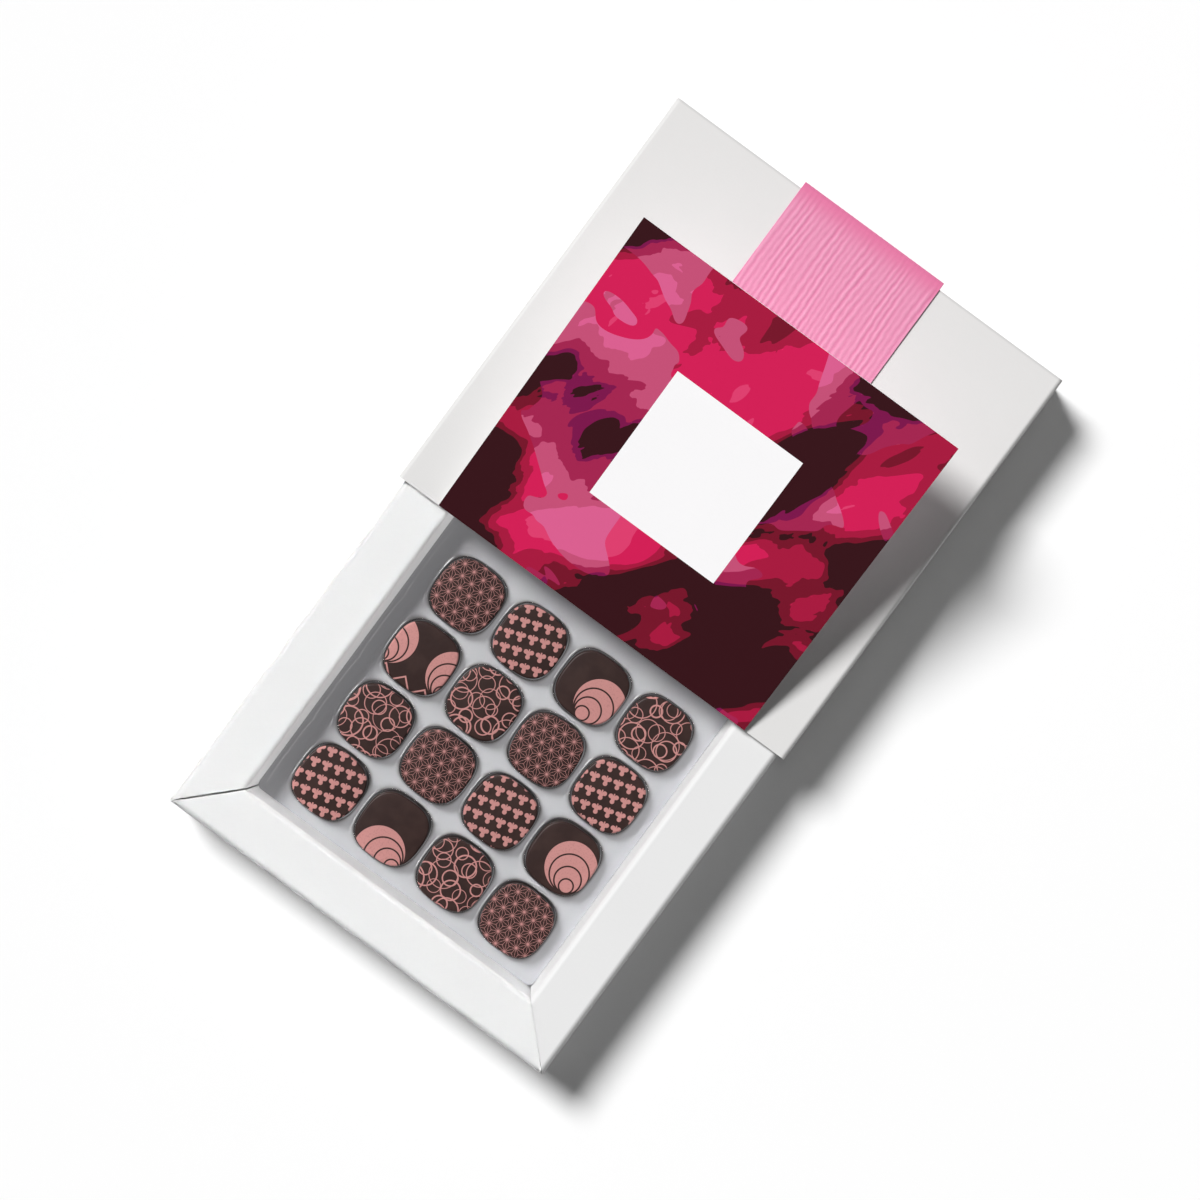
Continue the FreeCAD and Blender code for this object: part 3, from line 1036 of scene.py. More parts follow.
def make_object(name: str, points: np.ndarray, faces: np.ndarray) -> bpy.types.Object:
    """Make a smooth mesh object whose place is in its vertices.

    Points that lie on each other are merged, which closes seams and poles.

    Args:
        name: The object's name.
        points: The vertices, in metres.
        faces: The quads.

    Returns:
        The object, linked to the scene.
    """
    mesh = bpy.data.meshes.new(name)
    mesh.from_pydata(points.reshape(-1, 3).tolist(), [], faces.tolist())
    work = bmesh.new()
    work.from_mesh(mesh)
    bmesh.ops.remove_doubles(work, verts=work.verts, dist=MERGE)
    work.to_mesh(mesh)
    work.free()
    mesh.polygons.foreach_set("use_smooth", np.ones(len(mesh.polygons), dtype=bool))
    mesh.update()
    item = bpy.data.objects.new(name, mesh)
    bpy.context.scene.collection.objects.link(item)
    LOG.info("%s: %d faces", name, len(mesh.polygons))
    return item


def vertices_of(item: bpy.types.Object) -> np.ndarray:
    """Read a mesh's vertices.

    Args:
        item: The object.

    Returns:
        Their places, one row each.
    """
    flat = np.empty(len(item.data.vertices) * 3)
    item.data.vertices.foreach_get("co", flat)
    return flat.reshape(-1, 3)


def write_numbers(item: bpy.types.Object, name: str, values: np.ndarray) -> None:
    """Give each vertex a number under a name."""
    layer = item.data.attributes.new(name, "FLOAT", "POINT")
    layer.data.foreach_set("value", np.ascontiguousarray(values, dtype=np.float32))


def write_flat_map(item: bpy.types.Object, name: str, places: np.ndarray) -> None:
    """Give the mesh a flat map from one place for each vertex.

    Args:
        item: The object.
        name: The map's name.
        places: The vertices' places on the map, one row each.
    """
    corners = np.empty(len(item.data.loops), dtype=np.int32)
    item.data.loops.foreach_get("vertex_index", corners)
    layer = item.data.uv_layers.new(name=name)
    layer.data.foreach_set("uv", np.ascontiguousarray(places[corners], dtype=np.float32).ravel())


def thicken(item: bpy.types.Object, thickness: float, side: float) -> None:
    """Give a surface a thickness.

    Args:
        item: The object.
        thickness: How thick, in metres.
        side: -1 to grow inward, 0 to both sides.
    """
    solid = item.modifiers.new("thickness", "SOLIDIFY")
    solid.thickness = thickness
    solid.offset = side
    solid.use_even_offset = False


def cushion_radius(angle: np.ndarray, half_side: float, power: float) -> np.ndarray:
    """Give the outline of a square with bulging sides and round corners.

    The outline is a superellipse: the powers of its two coordinates add up to that of half its
    side.

    Args:
        angle: Directions from the middle, in radians.
        half_side: Half the side.
        power: The power; 2 is a circle, and more is squarer.

    Returns:
        The radius in each direction.
    """
    total = np.abs(np.cos(angle)) ** power + np.abs(np.sin(angle)) ** power
    return half_side * total ** (-1 / power)


def turning(degrees: float) -> np.ndarray:
    """Give the matrix by which rows of x and y are turned."""
    a = math.radians(degrees)
    return np.array([[math.cos(a), math.sin(a)], [-math.sin(a), math.cos(a)]])


def middle_of(box: tuple[Vector, Vector]) -> np.ndarray:
    """Give the middle of a box, from two of its corners."""
    return np.array([list(corner) for corner in box]).mean(axis=0)


def dress_nodes(material: bpy.types.Material, *nodes: str) -> None:
    """Put a material in the slots of CAD nodes.

    Args:
        material: The material.
        nodes: The nodes' names.
    """
    for node in nodes:
        for slot in frame["nodes"][node].material_slots:
            slot.material = material
        LOG.info("%s: dressed in %s", node, material.name)


# Pieces
@dataclass
class Sleeve:
    """The board sleeve, its back panel and the card's glued tab."""

    finish: BoardFinish = BoardFinish("sleeve_paper", linear(220, 219, 218))

    def dress(self, paper: bpy.types.NodeTree) -> None:
        """Give the board its finish."""
        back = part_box("sleeve_shell")[1].y
        dress_nodes(self.finish.make(paper, back), "sleeve_shell", "sleeve_back_panel", "card_tab")


@dataclass
class Card:
    """The printed card on the sleeve.

    Attributes:
        finish: Its print.
        crease: The joint that it turns on. Flat shut is the low end of its range.
    """

    finish: CardFinish = CardFinish()
    crease: str = "card_crease"

    def dress(self, paper: bpy.types.NodeTree) -> None:
        """Give the card its print, laid out from the crease.

        Args:
            paper: The grain of paper.
        """
        joint = next(item for item in frame["joints"] if item["name"] == self.crease)
        open_angle = math.radians(-joint["range_deg"][0])
        material = self.finish.make(paper, Vector(joint["pos_m"]), open_angle)
        dress_nodes(material, "printed_card")


@dataclass(frozen=True)
class Wander:
    """A swing of the ribs to and fro along the ribbon.

    Attributes:
        reach: How far it swings, in radians of a rib.
        along: Length that goes with a radian of the swing, in millimetres.
        pull: How far the swing is pulled along from rib to rib, in radians.
        across: Width that goes with a radian of that pull, in millimetres.
    """

    reach: float
    along: float
    pull: float
    across: float

    def at(self, s: np.ndarray, w: np.ndarray) -> np.ndarray:
        """Give the swing at places along and across the ribbon, in millimetres."""
        return self.reach * np.sin(s / self.along + self.pull * np.sin(w / self.across))


@dataclass
class Ribbon:
    """The crepe ribbon over the sleeve and down its back.

    Attributes:
        body_thickness: Thickness of the solid that it stands for.
        gap: Its clearance from the sleeve.
        bend: Radius of its turn over the back edge.
        bulge: How far its turn stands out past the solid.
        settle: Height over which it comes to rest against the back.
        sheet: Thickness of the ribbon itself.
        rib: Distance between its ribs.
        rib_height: How far the ribs swing to either side.
        wanders: How the ribs wander: one slow swing, and two fine crinkles.
        slant: Reach of a slanting swing, and what goes with its radian across and along.
        broad: Distance between the broader ribs under them.
        broad_share: Share of the broader ribs.
        broad_sway: How far these swing, what goes with a radian along, and two starting angles.
        swell: How much the ribs rise and fall, and what goes with its radian across and along.
        bend_zone: Half the length of the smoother stretch at the bend.
        bend_calm: How much lower the ribs are there.
        across: Number of points across it.
        along: Number of points along it.
        path_steps: Points of its path on the top, the turn, the settling and the hang.
        finish: Its look.
    """

    body_thickness: float = 0.4 * MM
    gap: float = 0.2 * MM
    bend: float = 2.2 * MM
    bulge: float = 0.8 * MM
    settle: float = 9.0 * MM
    sheet: float = 0.1 * MM
    rib: float = 1.7 * MM
    rib_height: float = 0.07 * MM
    wanders: tuple[Wander, ...] = (
        Wander(1.3, 7.3, 0.8, 4.1),
        Wander(0.22, 0.62, 2.6, 1.1),
        Wander(0.2, 1.1, 3.1, 1.9),
    )
    slant: Triple = (0.9, 2.7, 15.0)
    broad: float = 2.72 * MM
    broad_share: float = 0.22
    broad_sway: tuple[float, float, float, float] = (1.9, 10.7, 1.1, 2.0)
    swell: Triple = (0.25, 1.7, 9.0)
    bend_zone: float = 4.6 * MM
    bend_calm: float = 0.75
    across: int = 240
    along: int = 300
    path_steps: tuple[int, int, int, int] = (200, 40, 60, 40)
    finish: RibbonFinish = RibbonFinish()

    def path(self) -> tuple[np.ndarray, np.ndarray, np.ndarray, float]:
        """Work out the line that the ribbon follows, seen from its side.

        It runs level along the top, turns a quarter circle over the back edge, swings in to the
        back by half a cosine wave, and hangs straight.

        Returns:
            Points of y and z at even steps, the outward directions there, their distances along
            the line, and the distance of the middle of the bend.
        """
        low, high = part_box("ribbon")
        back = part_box("sleeve_shell")[1].y
        half = self.body_thickness / 2
        top = high.z - half
        outer = high.y - half + self.bulge
        rest = back + self.gap + half
        radius = self.bend
        level_steps, turn_steps, settle_steps, hang_steps = self.path_steps
        turn = np.linspace(0, math.pi / 2, turn_steps)
        fall = np.linspace(0, 1, settle_steps)
        level = np.linspace(low.y, outer - radius, level_steps)
        bend_y = outer - radius + radius * np.sin(turn)
        bend_z = top - radius + radius * np.cos(turn)
        settle_y = outer + (rest - outer) * (1 - np.cos(math.pi * fall)) / 2
        settle_z = top - radius - self.settle * fall
        hang_z = np.linspace(settle_z[-1], low.z, hang_steps)
        y = np.concatenate([level, bend_y[1:], settle_y[1:], np.full(hang_steps - 1, rest)])
        z = np.concatenate([np.full(level_steps, top), bend_z[1:], settle_z[1:], hang_z[1:]])
        run = np.concatenate([[0], np.cumsum(np.hypot(np.diff(y), np.diff(z)))])
        even = np.linspace(0, run[-1], self.along)
        line = np.stack([np.interp(even, run, y), np.interp(even, run, z)], axis=1)
        slope = np.gradient(line, even, axis=0)
        outward = np.stack([-slope[:, 1], slope[:, 0]], axis=1)
        outward /= np.linalg.norm(outward, axis=1, keepdims=True)
        middle = level[-1] - level[0] + radius * math.pi / 4
        return line, outward, even, middle

    def waves(self, s: np.ndarray, w: np.ndarray) -> np.ndarray:
        """Work out the ribs: waves across the ribbon that wander and fork along it.

        Args:
            s: Places along the ribbon, in millimetres.
            w: Places across it, in millimetres.

        Returns:
            The ribs' heights, from -1 to 1.
        """
        turn = 2 * math.pi * w * MM
        reach, slant_across, slant_along = self.slant
        wander = reach * np.sin(w / slant_across + s / slant_along)
        wander += sum(swing.at(s, w) for swing in self.wanders)
        ribs = np.sin(turn / self.rib + wander)
        sway, sway_along, sway_start, broad_start = self.broad_sway
        broad = np.sin(turn / self.broad + sway * np.sin(s / sway_along + sway_start) + broad_start)
        rise, swell_across, swell_along = self.swell
        swell = 1 - rise + rise * np.sin(w / swell_across + s / swell_along)
        return ((1 - self.broad_share) * ribs + self.broad_share * broad) * swell

    def build(self) -> bpy.types.Object:
        """Make the ribbon's sheet. Its ribs die down over the bend.

        Returns:
            The ribbon.
        """
        low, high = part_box("ribbon")
        line, outward, run, bend_at = self.path()
        side = np.linspace(low.x, high.x, self.across)
        s, w = np.meshgrid(run / MM, side / MM, indexing="ij")
        wave = self.waves(s, w)
        bend = np.exp(-(((s * MM - bend_at) / self.bend_zone) ** 2))
        height = self.rib_height * wave * (1 - self.bend_calm * bend)
        y = line[:, :1] + outward[:, :1] * height
        z = line[:, 1:] + outward[:, 1:] * height
        points = np.stack([w * MM, y, z], axis=-1)
        ribbon = make_object("ribbon_sheet", points, grid_faces(self.along, self.across, False))
        # These numbers place the ribbon's painted shade, in the ribs' valleys and over the bend.
        write_numbers(ribbon, "rib", ((1 + wave) / 2).ravel())
        write_numbers(ribbon, "bend", bend.ravel())
        thicken(ribbon, self.sheet, 0.0)
        ribbon.data.materials.append(self.finish.make())
        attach(ribbon, "sleeve")
        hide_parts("ribbon")
        return ribbon


@dataclass
class Tray:
    """The tray's floor and its four hollow rails."""

    finish: BoardFinish = BoardFinish("tray_paper", linear(223, 223, 223))

    def dress(self, paper: bpy.types.NodeTree) -> bpy.types.Object:
        """Give the board its finish.

        Args:
            paper: The grain of paper.

        Returns:
            The floor.
        """
        rails = [f"tray_{side}_rail" for side in ("left", "front", "back", "right")]
        dress_nodes(self.finish.make(paper), "tray_floor", *rails)
        return frame["nodes"]["tray_floor"]


@dataclass
class Insert:
    """The formed clear insert with a cup for each chocolate.

    Attributes:
        mouth: Half a cup's side at its mouth.
        foot: Half a cup's side at its floor.
        power: The cups' squareness.
        rim: How far a cup's rim reaches out at its sides.
        rim_corner: How much further it reaches at its corners.
        rim_sharpness: How closely it keeps to the corners, as a power.
        rim_drop: How far down it reaches.
        foot_round: Radius where a cup's wall meets its floor.
        floor: Height of the cups' floors over the insert's underside.
        flare: How far its outer wall leans out.
        edge: Radius of the insert's outer edge.
        corner: Radius of its corners.
        film: Thickness of the film.
        steps: Points along a side of a cup's cell.
        round_steps: Points down a cup's rim, and in to its floor.
        wall_shares: How far down the cup's wall further points lie.
        floor_shares: How far out from a floor's middle its points lie.
        land_shares: How far in from a cell's edge to the rim its points lie.
        edge_steps: Points round the outer edge.
        finish: Its look.
    """

    mouth: float = 9.98 * MM
    foot: float = 9.9 * MM
    power: float = 2.8
    rim: float = 0.9 * MM
    rim_corner: float = 1.3 * MM
    rim_sharpness: int = 4
    rim_drop: float = 1.1 * MM
    foot_round: float = 0.4 * MM
    floor: float = 0.45 * MM
    flare: float = 0.62 * MM
    edge: float = 0.12 * MM
    corner: float = 1.8 * MM
    film: float = 0.3 * MM
    steps: int = 28
    round_steps: int = 8
    wall_shares: Triple = (0.25, 0.5, 0.75)
    floor_shares: Triple = (0.66, 0.33, 0.0)
    land_shares: tuple[float, float] = (0.35, 0.7)
    edge_steps: int = 7
    finish: FilmFinish = FilmFinish()

    def round_corners(self, points: np.ndarray, half: np.ndarray, inset: float) -> np.ndarray:
        """Move points of the insert's sharp outline to its rounded one.

        Each point is split into its nearest place in the core, the outline less the corner
        radius, and a direction from there, which is given the radius less the inset.

        Args:
            points: Places from the insert's middle.
            half: Half the insert's two sides.
            inset: How far inside the outline they go.

        Returns:
            The moved points. Those inside the outline stay.
        """
        core = np.clip(points, self.corner - half, half - self.corner)
        away = points - core
        length = np.linalg.norm(away, axis=-1, keepdims=True)
        moved = core + away / np.maximum(length, MERGE) * (self.corner - inset)
        on_edge = np.any(np.abs(np.abs(points) - half) < MERGE, axis=-1, keepdims=True)
        return np.where(on_edge, moved, points)

    def cell_sides(self, middles: np.ndarray, half: float) -> np.ndarray:
        """Divide the insert along an axis into one cell for each cup.

        Args:
            middles: The cups' middles along that axis, in rising order.
            half: Half the insert's side.

        Returns:
            One row for each cell: its middle, and its reach to either side.
        """
        bounds = np.concatenate([[-half], (middles[1:] + middles[:-1]) / 2, [half]])
        return np.column_stack([middles, middles - bounds[:-1], bounds[1:] - middles])

    def spread(self, side: np.ndarray, shares: np.ndarray) -> np.ndarray:
        """Place points along an axis in each cell.

        Args:
            side: The cells' middles and reaches.
            shares: The points' places as shares of a reach, from -1 to 1.

        Returns:
            One row of places for each cell.
        """
        return side[:, :1] + shares * np.where(shares < 0, side[:, 1:2], side[:, 2:])

    def cup(self, angle: np.ndarray, top: float) -> list[tuple[np.ndarray, float]]:
        """Work out a cup's rings, from its rim down its wall and in to the middle of its floor.

        Args:
            angle: Directions from the cup's middle, in radians.
            top: Height of the web between the cups.

        Returns:
            Each ring's radius in those directions, and its height.
        """
        turn = np.linspace(0, math.pi / 2, self.round_steps)
        mouth = cushion_radius(angle, self.mouth, self.power)
        foot = cushion_radius(angle, self.foot, self.power)
        reach = self.rim + self.rim_corner * np.sin(2 * angle) ** self.rim_sharpness
        wall_top = top - self.rim_drop
        wall_foot = self.floor + self.foot_round
        rings = [(mouth + reach * (1 - np.sin(a)), wall_top + self.rim_drop * np.cos(a)) for a in turn]
        for down in self.wall_shares:
            rings.append((mouth + (foot - mouth) * down, wall_top + (wall_foot - wall_top) * down))
        for a in turn:
            inset = self.foot_round * (1 - np.cos(a))
            rings.append((foot - inset, wall_foot - self.foot_round * np.sin(a)))
        return rings + [((foot - self.foot_round) * share, self.floor) for share in self.floor_shares]

    def cells(
        self, half: np.ndarray, sides: tuple[np.ndarray, np.ndarray], top: float
    ) -> tuple[np.ndarray, np.ndarray]:
        """Make the cells, each a loop round its edge carried in to the cup's mouth and floor.

        Args:
            half: Half the insert's two sides at its top.
            sides: The cells' middles and reaches along the two axes.
            top: Height of the web between the cups.

        Returns:
            The points, from the insert's middle, and the quads.
        """
        run = np.linspace(-1, 1, self.steps, endpoint=False)
        ones = np.ones(self.steps)
        edge_x = self.spread(sides[0], np.concatenate([run, ones, -run, -ones]))
        edge_y = self.spread(sides[1], np.concatenate([-ones, run, ones, -run]))
        count_x, count_y = (np.arange(len(side)) for side in sides)
        columns, rows = (grid.ravel() for grid in np.meshgrid(count_x, count_y, indexing="ij"))
        edge = np.stack([edge_x[columns], edge_y[rows]], axis=-1)
        middle = np.stack([sides[0][columns, :1], sides[1][rows, :1]], axis=-1)
        half_pitch = sides[0][0, 2]
        away = np.clip(edge - middle, -half_pitch, half_pitch)
        angle = np.arctan2(away[..., 1], away[..., 0])
        way = np.stack([np.cos(angle), np.sin(angle)], axis=-1)
        edge = self.round_corners(edge, half, self.edge)
        rings = [(middle + radius[..., None] * way, height) for radius, height in self.cup(angle, top)]
        lip = rings[0][0]
        lands = [(edge + (lip - edge) * share, top) for share in (0.0, *self.land_shares)]
        points = np.stack([lifted(flat, height) for flat, height in lands + rings], axis=1)
        quads = grid_faces(points.shape[1], points.shape[2], True)
        starts = np.arange(points.shape[0]) * points.shape[1] * points.shape[2]
        return points.reshape(-1, 3), (starts[:, None, None] + quads).reshape(-1, 4)

    def skirt(
        self, half: np.ndarray, sides: tuple[np.ndarray, np.ndarray], top: float
    ) -> tuple[np.ndarray, np.ndarray]:
        """Make the rounded edge and the leaning wall below it, down to the tray.

        Args:
            half: Half the insert's two sides at its top.
            sides: The cells' middles and reaches along the two axes.
            top: Height of the web.

        Returns:
            The points, from the insert's middle, and the quads.
        """
        run = np.linspace(-1, 1, self.steps, endpoint=False)
        along_x, along_y = (self.spread(side, run).ravel() for side in sides)
        ones_x = np.full(along_x.size, half[0])
        ones_y = np.full(along_y.size, half[1])
        back_x = np.concatenate([[half[0]], along_x[:0:-1]])
        back_y = np.concatenate([[half[1]], along_y[:0:-1]])
        x = np.concatenate([along_x, ones_x, back_x, -ones_x])
        y = np.concatenate([-ones_y, along_y, ones_y, back_y])
        loop = np.stack([x, y], axis=-1)
        shoulder = top - self.edge
        levels = [(self.flare, 0.0), (self.flare / 2, shoulder / 2)]
        for a in np.linspace(math.pi / 2, 0, self.edge_steps):
            levels.append((self.edge * (1 - math.sin(a)), shoulder + self.edge * math.cos(a)))
        rings = [lifted(self.round_corners(loop, half, inset), height) for inset, height in levels]
        return np.concatenate(rings), grid_faces(len(rings), len(loop), True)

    def build(self) -> bpy.types.Object:
        """Make the insert, with a cup under each chocolate.

        Returns:
            The insert.
        """
        low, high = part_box("insert_tray")
        half = np.array([high.x - low.x, high.y - low.y]) / 2 + self.flare
        middle = middle_of((low, high))
        middle[2] = low.z
        columns = np.array([middle_of(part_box(f"chocolate_a{column}"))[0] for column in "1234"])
        rows = np.array([middle_of(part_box(f"chocolate_{row}1"))[1] for row in "dcba"])
        side_x = self.cell_sides(columns - middle[0], half[0])
        side_y = self.cell_sides(rows - middle[1], half[1])
        web, web_faces = self.cells(half, (side_x, side_y), high.z - low.z)
        wall, wall_faces = self.skirt(half, (side_x, side_y), high.z - low.z)
        points = np.concatenate([web, wall]) + middle
        faces = np.concatenate([web_faces, wall_faces + len(web)])
        insert = make_object("insert_film", points, faces)
        thicken(insert, self.film, -1.0)
        insert.data.materials.append(self.finish.make(high.z))
        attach(insert, "tray")
        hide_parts("insert_tray")
        return insert


@dataclass(frozen=True)
class Sweet:
    """How one chocolate lies, and its print.

    Attributes:
        lie: How far the chocolate is turned, in degrees.
        design: Its design.
        shift: Where the design's origin lies on the top, in millimetres.
        turn: How far the design is turned on the chocolate, in degrees.
    """

    lie: float
    design: Print
    shift: tuple[float, float]
    turn: float


@dataclass
class Chocolates:
    """The sixteen chocolates.

    Attributes:
        power: Squareness of their outline.
        taper: How far their sides lean in.
        top_round: Radius of their top edge.
        foot_round: Radius of their bottom edge.
        dome: How far the top's edge lies below its middle.
        printed_round: Share of the top edge's radius that the print reaches down.
        print_fade: Height over which the print ends there.
        around: Points round the outline.
        round_steps: Points over each rounded edge.
        foot_steps: Points from the foot's middle to its edge.
        side_steps: Points up the side.
        crown_steps: Points from the top's edge to its middle.
        sweets: Their prints, row by row from the sleeve.
        finish: Their look.
    """

    power: float = 2.8
    taper: float = 0.15 * MM
    top_round: float = 0.6 * MM
    foot_round: float = 0.7 * MM
    dome: float = 0.25 * MM
    printed_round: float = 0.95
    print_fade: float = 0.1 * MM
    around: int = 144
    round_steps: int = 9
    foot_steps: int = 4
    side_steps: int = 6
    crown_steps: int = 16
    sweets: dict[str, tuple[Sweet, ...]] = field(
        default_factory=lambda: {
            "a": (
                Sweet(-2.0, Print.STARS, (0.4, 0.2), -4.0),
                Sweet(2.0, Print.TREFOILS, (0.3, 0.9), 18.0),
                Sweet(-1.0, Print.DISC, (4.7, -2.9), -30.0),
                Sweet(1.0, Print.RINGS, (0.0, 0.0), 20.0),
            ),
            "b": (
                Sweet(1.0, Print.TWO_DISCS, (0.0, 0.3), 0.0),
                Sweet(-2.0, Print.RINGS, (31.0, 7.0), 75.0),
                Sweet(2.0, Print.STARS, (1.1, 0.8), -6.0),
                Sweet(-1.0, Print.TREFOILS, (1.4, 0.2), 18.0),
            ),
            "c": (
                Sweet(2.0, Print.RINGS, (57.0, -19.0), 130.0),
                Sweet(0.0, Print.STARS, (0.2, 1.3), -8.0),
                Sweet(-2.0, Print.TREFOILS, (0.6, 1.7), 17.0),
                Sweet(1.0, Print.DISC, (3.4, -0.7), 20.0),
            ),
            "d": (
                Sweet(-3.0, Print.TREFOILS, (1.0, 0.5), 19.0),
                Sweet(1.0, Print.DISC, (0.8, -7.5), 75.0),
                Sweet(2.0, Print.RINGS, (-43.0, 26.0), 215.0),
                Sweet(-1.0, Print.STARS, (1.6, 0.1), -5.5),
            ),
        }
    )
    finish: ChocolateFinish = ChocolateFinish()

    def surface(self, half_side: float, height: float) -> np.ndarray:
        """Work out one chocolate about the middle of its foot.

        The outline is carried from the foot's middle out to a rounded bottom edge, up the leaning
        side, over a rounded top edge and in over a slight dome.

        Args:
            half_side: Half its side.
            height: Its height.

        Returns:
            The points, one row for each loop.
        """
        angle = np.linspace(0, 2 * math.pi, self.around, endpoint=False)
        outline = cushion_radius(angle, half_side, self.power)
        turn = np.linspace(0, math.pi / 2, self.round_steps)
        foot = self.foot_round
        top = self.top_round
        shoulder = height - self.dome - top
        share_out = np.linspace(0, 1, self.foot_steps)[:-1]
        share_in = np.linspace(1, 0, self.crown_steps)[1:]
        side = np.linspace(foot, shoulder, self.side_steps)[1:-1]
        scale = np.concatenate([share_out, np.ones(2 * turn.size + side.size), share_in])
        lean = self.taper * (side - foot) / (shoulder - foot)
        inset_foot = foot * (1 - np.sin(turn))
        inset_top = top * (1 - np.cos(turn)) + self.taper
        inset_crown = share_in * (top + self.taper)
        inset = np.concatenate([share_out * foot, inset_foot, lean, inset_top, inset_crown])
        lift_foot = foot * (1 - np.cos(turn))
        lift_top = shoulder + top * np.sin(turn)
        crown = height - self.dome * share_in**2
        lift = np.concatenate([np.zeros(share_out.size), lift_foot, side, lift_top, crown])
        radius = np.maximum(scale[:, None] * outline - inset[:, None], 0)
        flat = np.stack([radius * np.cos(angle), radius * np.sin(angle)], axis=-1)
        return lifted(flat, lift[:, None])

    def build_one(self, name: str, sweet: Sweet, material: bpy.types.Material) -> bpy.types.Object:
        """Make one chocolate in its CAD node's place.

        Args:
            name: The node's and the body's name.
            sweet: Its lie and its print.
            material: The material with that print.

        Returns:
            The chocolate.
        """
        low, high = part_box(name)
        middle = middle_of((low, high))[:2]
        height = high.z - low.z
        points = self.surface(min(high.x - low.x, high.y - low.y) / 2, height)
        points[..., :2] = points[..., :2] @ turning(sweet.lie) + middle
        points[..., 2] += low.z
        item = make_object(f"{name}_piece", points, grid_faces(points.shape[0], self.around, True))
        places = vertices_of(item)
        on_top = (places[:, :2] - middle) / MM - np.array(sweet.shift)
        flat = on_top @ turning(-sweet.lie - sweet.turn)
        write_flat_map(item, "print", flat / self.finish.uv_size + 0.5)
        edge = low.z + height - self.dome - self.printed_round * self.top_round
        write_numbers(item, "print_area", np.clip((places[:, 2] - edge) / self.print_fade, 0, 1))
        item.data.materials.append(material)
        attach(item, name)
        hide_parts(name)
        return item

    def build(self) -> list[bpy.types.Object]:
        """Make all the chocolates and their prints.

        Returns:
            The chocolates.
        """
        groups = PrintDesigns().build()
        materials = {design: self.finish.make(design, tree) for design, tree in groups.items()}
        return [
            self.build_one(f"chocolate_{row}{place}", sweet, materials[sweet.design])
            for row, sweets in self.sweets.items()
            for place, sweet in enumerate(sweets, 1)
        ]


# Studio
@dataclass(frozen=True)
class Sun:
    """A far light.

    Attributes:
        name: Its name.
        way: The direction in which it travels.
        power: Its strength.
        width: Its width as seen from the box, in degrees.
    """

    name: str
    way: Triple
    power: float
    width: float

    def build(self) -> bpy.types.Object:
        """Set the light.

        Returns:
            The light.
        """
        data = bpy.data.lights.new(self.name, "SUN")
        data.energy = self.power
        data.angle = math.radians(self.width)
        sun = bpy.data.objects.new(self.name, data)
        sun.rotation_mode = "QUATERNION"
        sun.rotation_quaternion = Vector(self.way).to_track_quat("-Z", "Y")
        bpy.context.scene.collection.objects.link(sun)
        return sun

    def build_on(
        self, pieces: bpy.types.Collection, blockers: bpy.types.Collection
    ) -> bpy.types.Object:
        """Set the light so that it falls on some pieces alone.

        Args:
            pieces: Those pieces.
            blockers: The pieces that can shade them.

        Returns:
            The light.
        """
        sun = self.build()
        sun.light_linking.receiver_collection = pieces
        sun.light_linking.blocker_collection = blockers
        return sun


def gather(name: str, pieces: list[bpy.types.Object]) -> bpy.types.Collection:
    """Collect pieces for a light.

    Args:
        name: The collection's name.
        pieces: The pieces.

    Returns:
        The collection.
    """
    collection = bpy.data.collections.new(name)
    for piece in pieces:
        collection.objects.link(piece)
    return collection


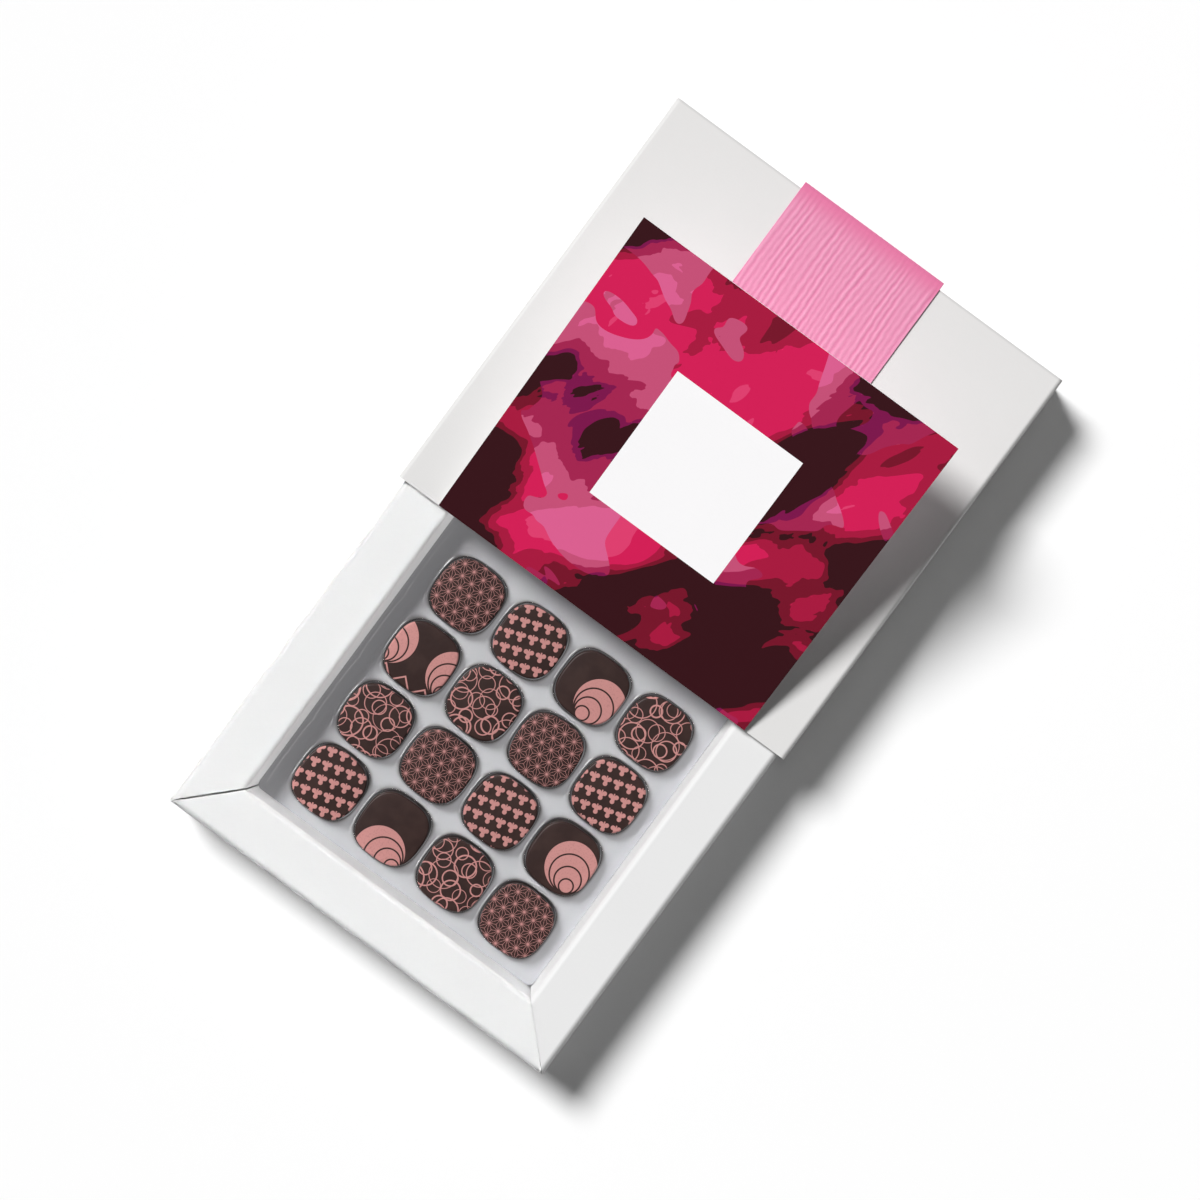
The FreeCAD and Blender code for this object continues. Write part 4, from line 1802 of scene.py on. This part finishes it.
@dataclass
class Studio:
    """The floor, the light and the camera.

    Attributes:
        camera_place: Where the camera hangs.
        camera_turn: Its turn about the vertical, in degrees.
        sensor: Width of its sensor, in millimetres.
        lens: Its focal length, in millimetres.
        key: The key light.
        fill: The light bounced on to the tray's floor.
        washes: The light bounced on to each rail that shows its inner wall, by the rail's name.
        glow_power: Strength of the key light that the film takes in past the chocolates.
        glint: The light that glints on the film.
        sky: Strength of the even light from all round.
        floor_side: Side of the floor.
        floor_drop: How far the floor lies under the box.
        finish: The floor's look.
    """

    camera_place: Triple = (-1.02 * MM, -60.87 * MM, 1074.0 * MM)
    camera_turn: float = 36.37
    sensor: float = 36.0
    lens: float = 111.63
    key: Sun = Sun("key", (0.77, -0.22, -1.0), 3.72, 20.0)
    fill: Sun = Sun("fill", (-0.74, -0.65, -0.2), 2.4, 25.0)
    washes: tuple[tuple[str, Sun], ...] = (
        ("tray_right_rail", Sun("wash_right", (0.93, -0.1, -0.34), 0.42, 10.0)),
        ("tray_front_rail", Sun("wash_front", (-0.1, -0.96, -0.27), 1.3, 10.0)),
        ("tray_left_rail", Sun("wash_left", (-0.98, 0.0, -0.2), 1.7, 10.0)),
    )
    glow_power: float = 1.9
    glint: Sun = Sun("glint", (-0.75, 0.1, -0.85), 1.2, 10.0)
    sky: float = 0.13
    floor_side: float = 6.0
    floor_drop: float = 0.2 * MM
    finish: FloorFinish = FloorFinish()

    def build_camera(self) -> None:
        """Hang the camera straight above the box."""
        data = bpy.data.cameras.new("camera")
        data.sensor_width = self.sensor
        data.lens = self.lens
        camera = bpy.data.objects.new("camera", data)
        camera.location = self.camera_place
        camera.rotation_euler = (0.0, 0.0, math.radians(self.camera_turn))
        bpy.context.scene.collection.objects.link(camera)
        bpy.context.scene.camera = camera

    def build_light(self) -> None:
        """Set a broad key light at the box's left and back, and even light all round."""
        self.key.build()
        world = bpy.data.worlds.new("studio")
        world.use_nodes = True
        background = world.node_tree.nodes["Background"].inputs
        background["Color"].default_value = (1.0, 1.0, 1.0, 1.0)
        background["Strength"].default_value = self.sky
        bpy.context.scene.world = world

    def build_fill(self, tray_floor: bpy.types.Object, insert: bpy.types.Object) -> None:
        """Bounce light into the tray alone, and stand in for the light that the film scatters.

        Light that enters the clear film leaves it all round the cups, so the shadows there are
        pale. The glow and the glint fall on the film alone, and the chocolates don't shade it from
        them.

        Args:
            tray_floor: The tray's floor.
            insert: The insert.
        """
        nodes = frame["nodes"]
        inside = ("chocolate", "insert", "ribbon")
        board = gather("board", [piece for node, piece in nodes.items() if not node.startswith(inside)])
        tray = gather("tray_board", [piece for node, piece in nodes.items() if node.startswith("tray_")])
        film = gather("film", [insert])
        self.fill.build_on(gather("under_the_film", [tray_floor]), board)
        for rail, wash in self.washes:
            wash.build_on(gather(f"{wash.name}_rail", [nodes[rail]]), tray)
        glow = replace(self.key, name="glow", power=self.glow_power).build_on(film, board)
        glow.visible_glossy = False
        self.glint.build_on(film, gather("film_and_floor", [insert, tray_floor]))

    def build_floor(self) -> None:
        """Lay the floor."""
        side = np.array([-1, 1]) * self.floor_side / 2
        flat = np.stack(np.meshgrid(side, side), axis=-1)
        floor = make_object("floor", lifted(flat, -self.floor_drop), grid_faces(2, 2, False))
        floor.data.materials.append(self.finish.make())

    def build(self) -> None:
        """Build the studio."""
        bpy.context.scene.view_settings.view_transform = "Standard"
        self.build_floor()
        self.build_light()
        self.build_camera()


def main() -> None:
    """Build the studio and the pieces."""
    logging.basicConfig(level=logging.INFO, format="%(name)s: %(message)s")
    paper = PaperGrain().build()
    studio = Studio()
    studio.build()
    Sleeve().dress(paper)
    Card().dress(paper)
    Ribbon().build()
    tray_floor = Tray().dress(paper)
    insert = Insert().build()
    Chocolates().build()
    studio.build_fill(tray_floor, insert)


if __name__ == "__main__":
    main()
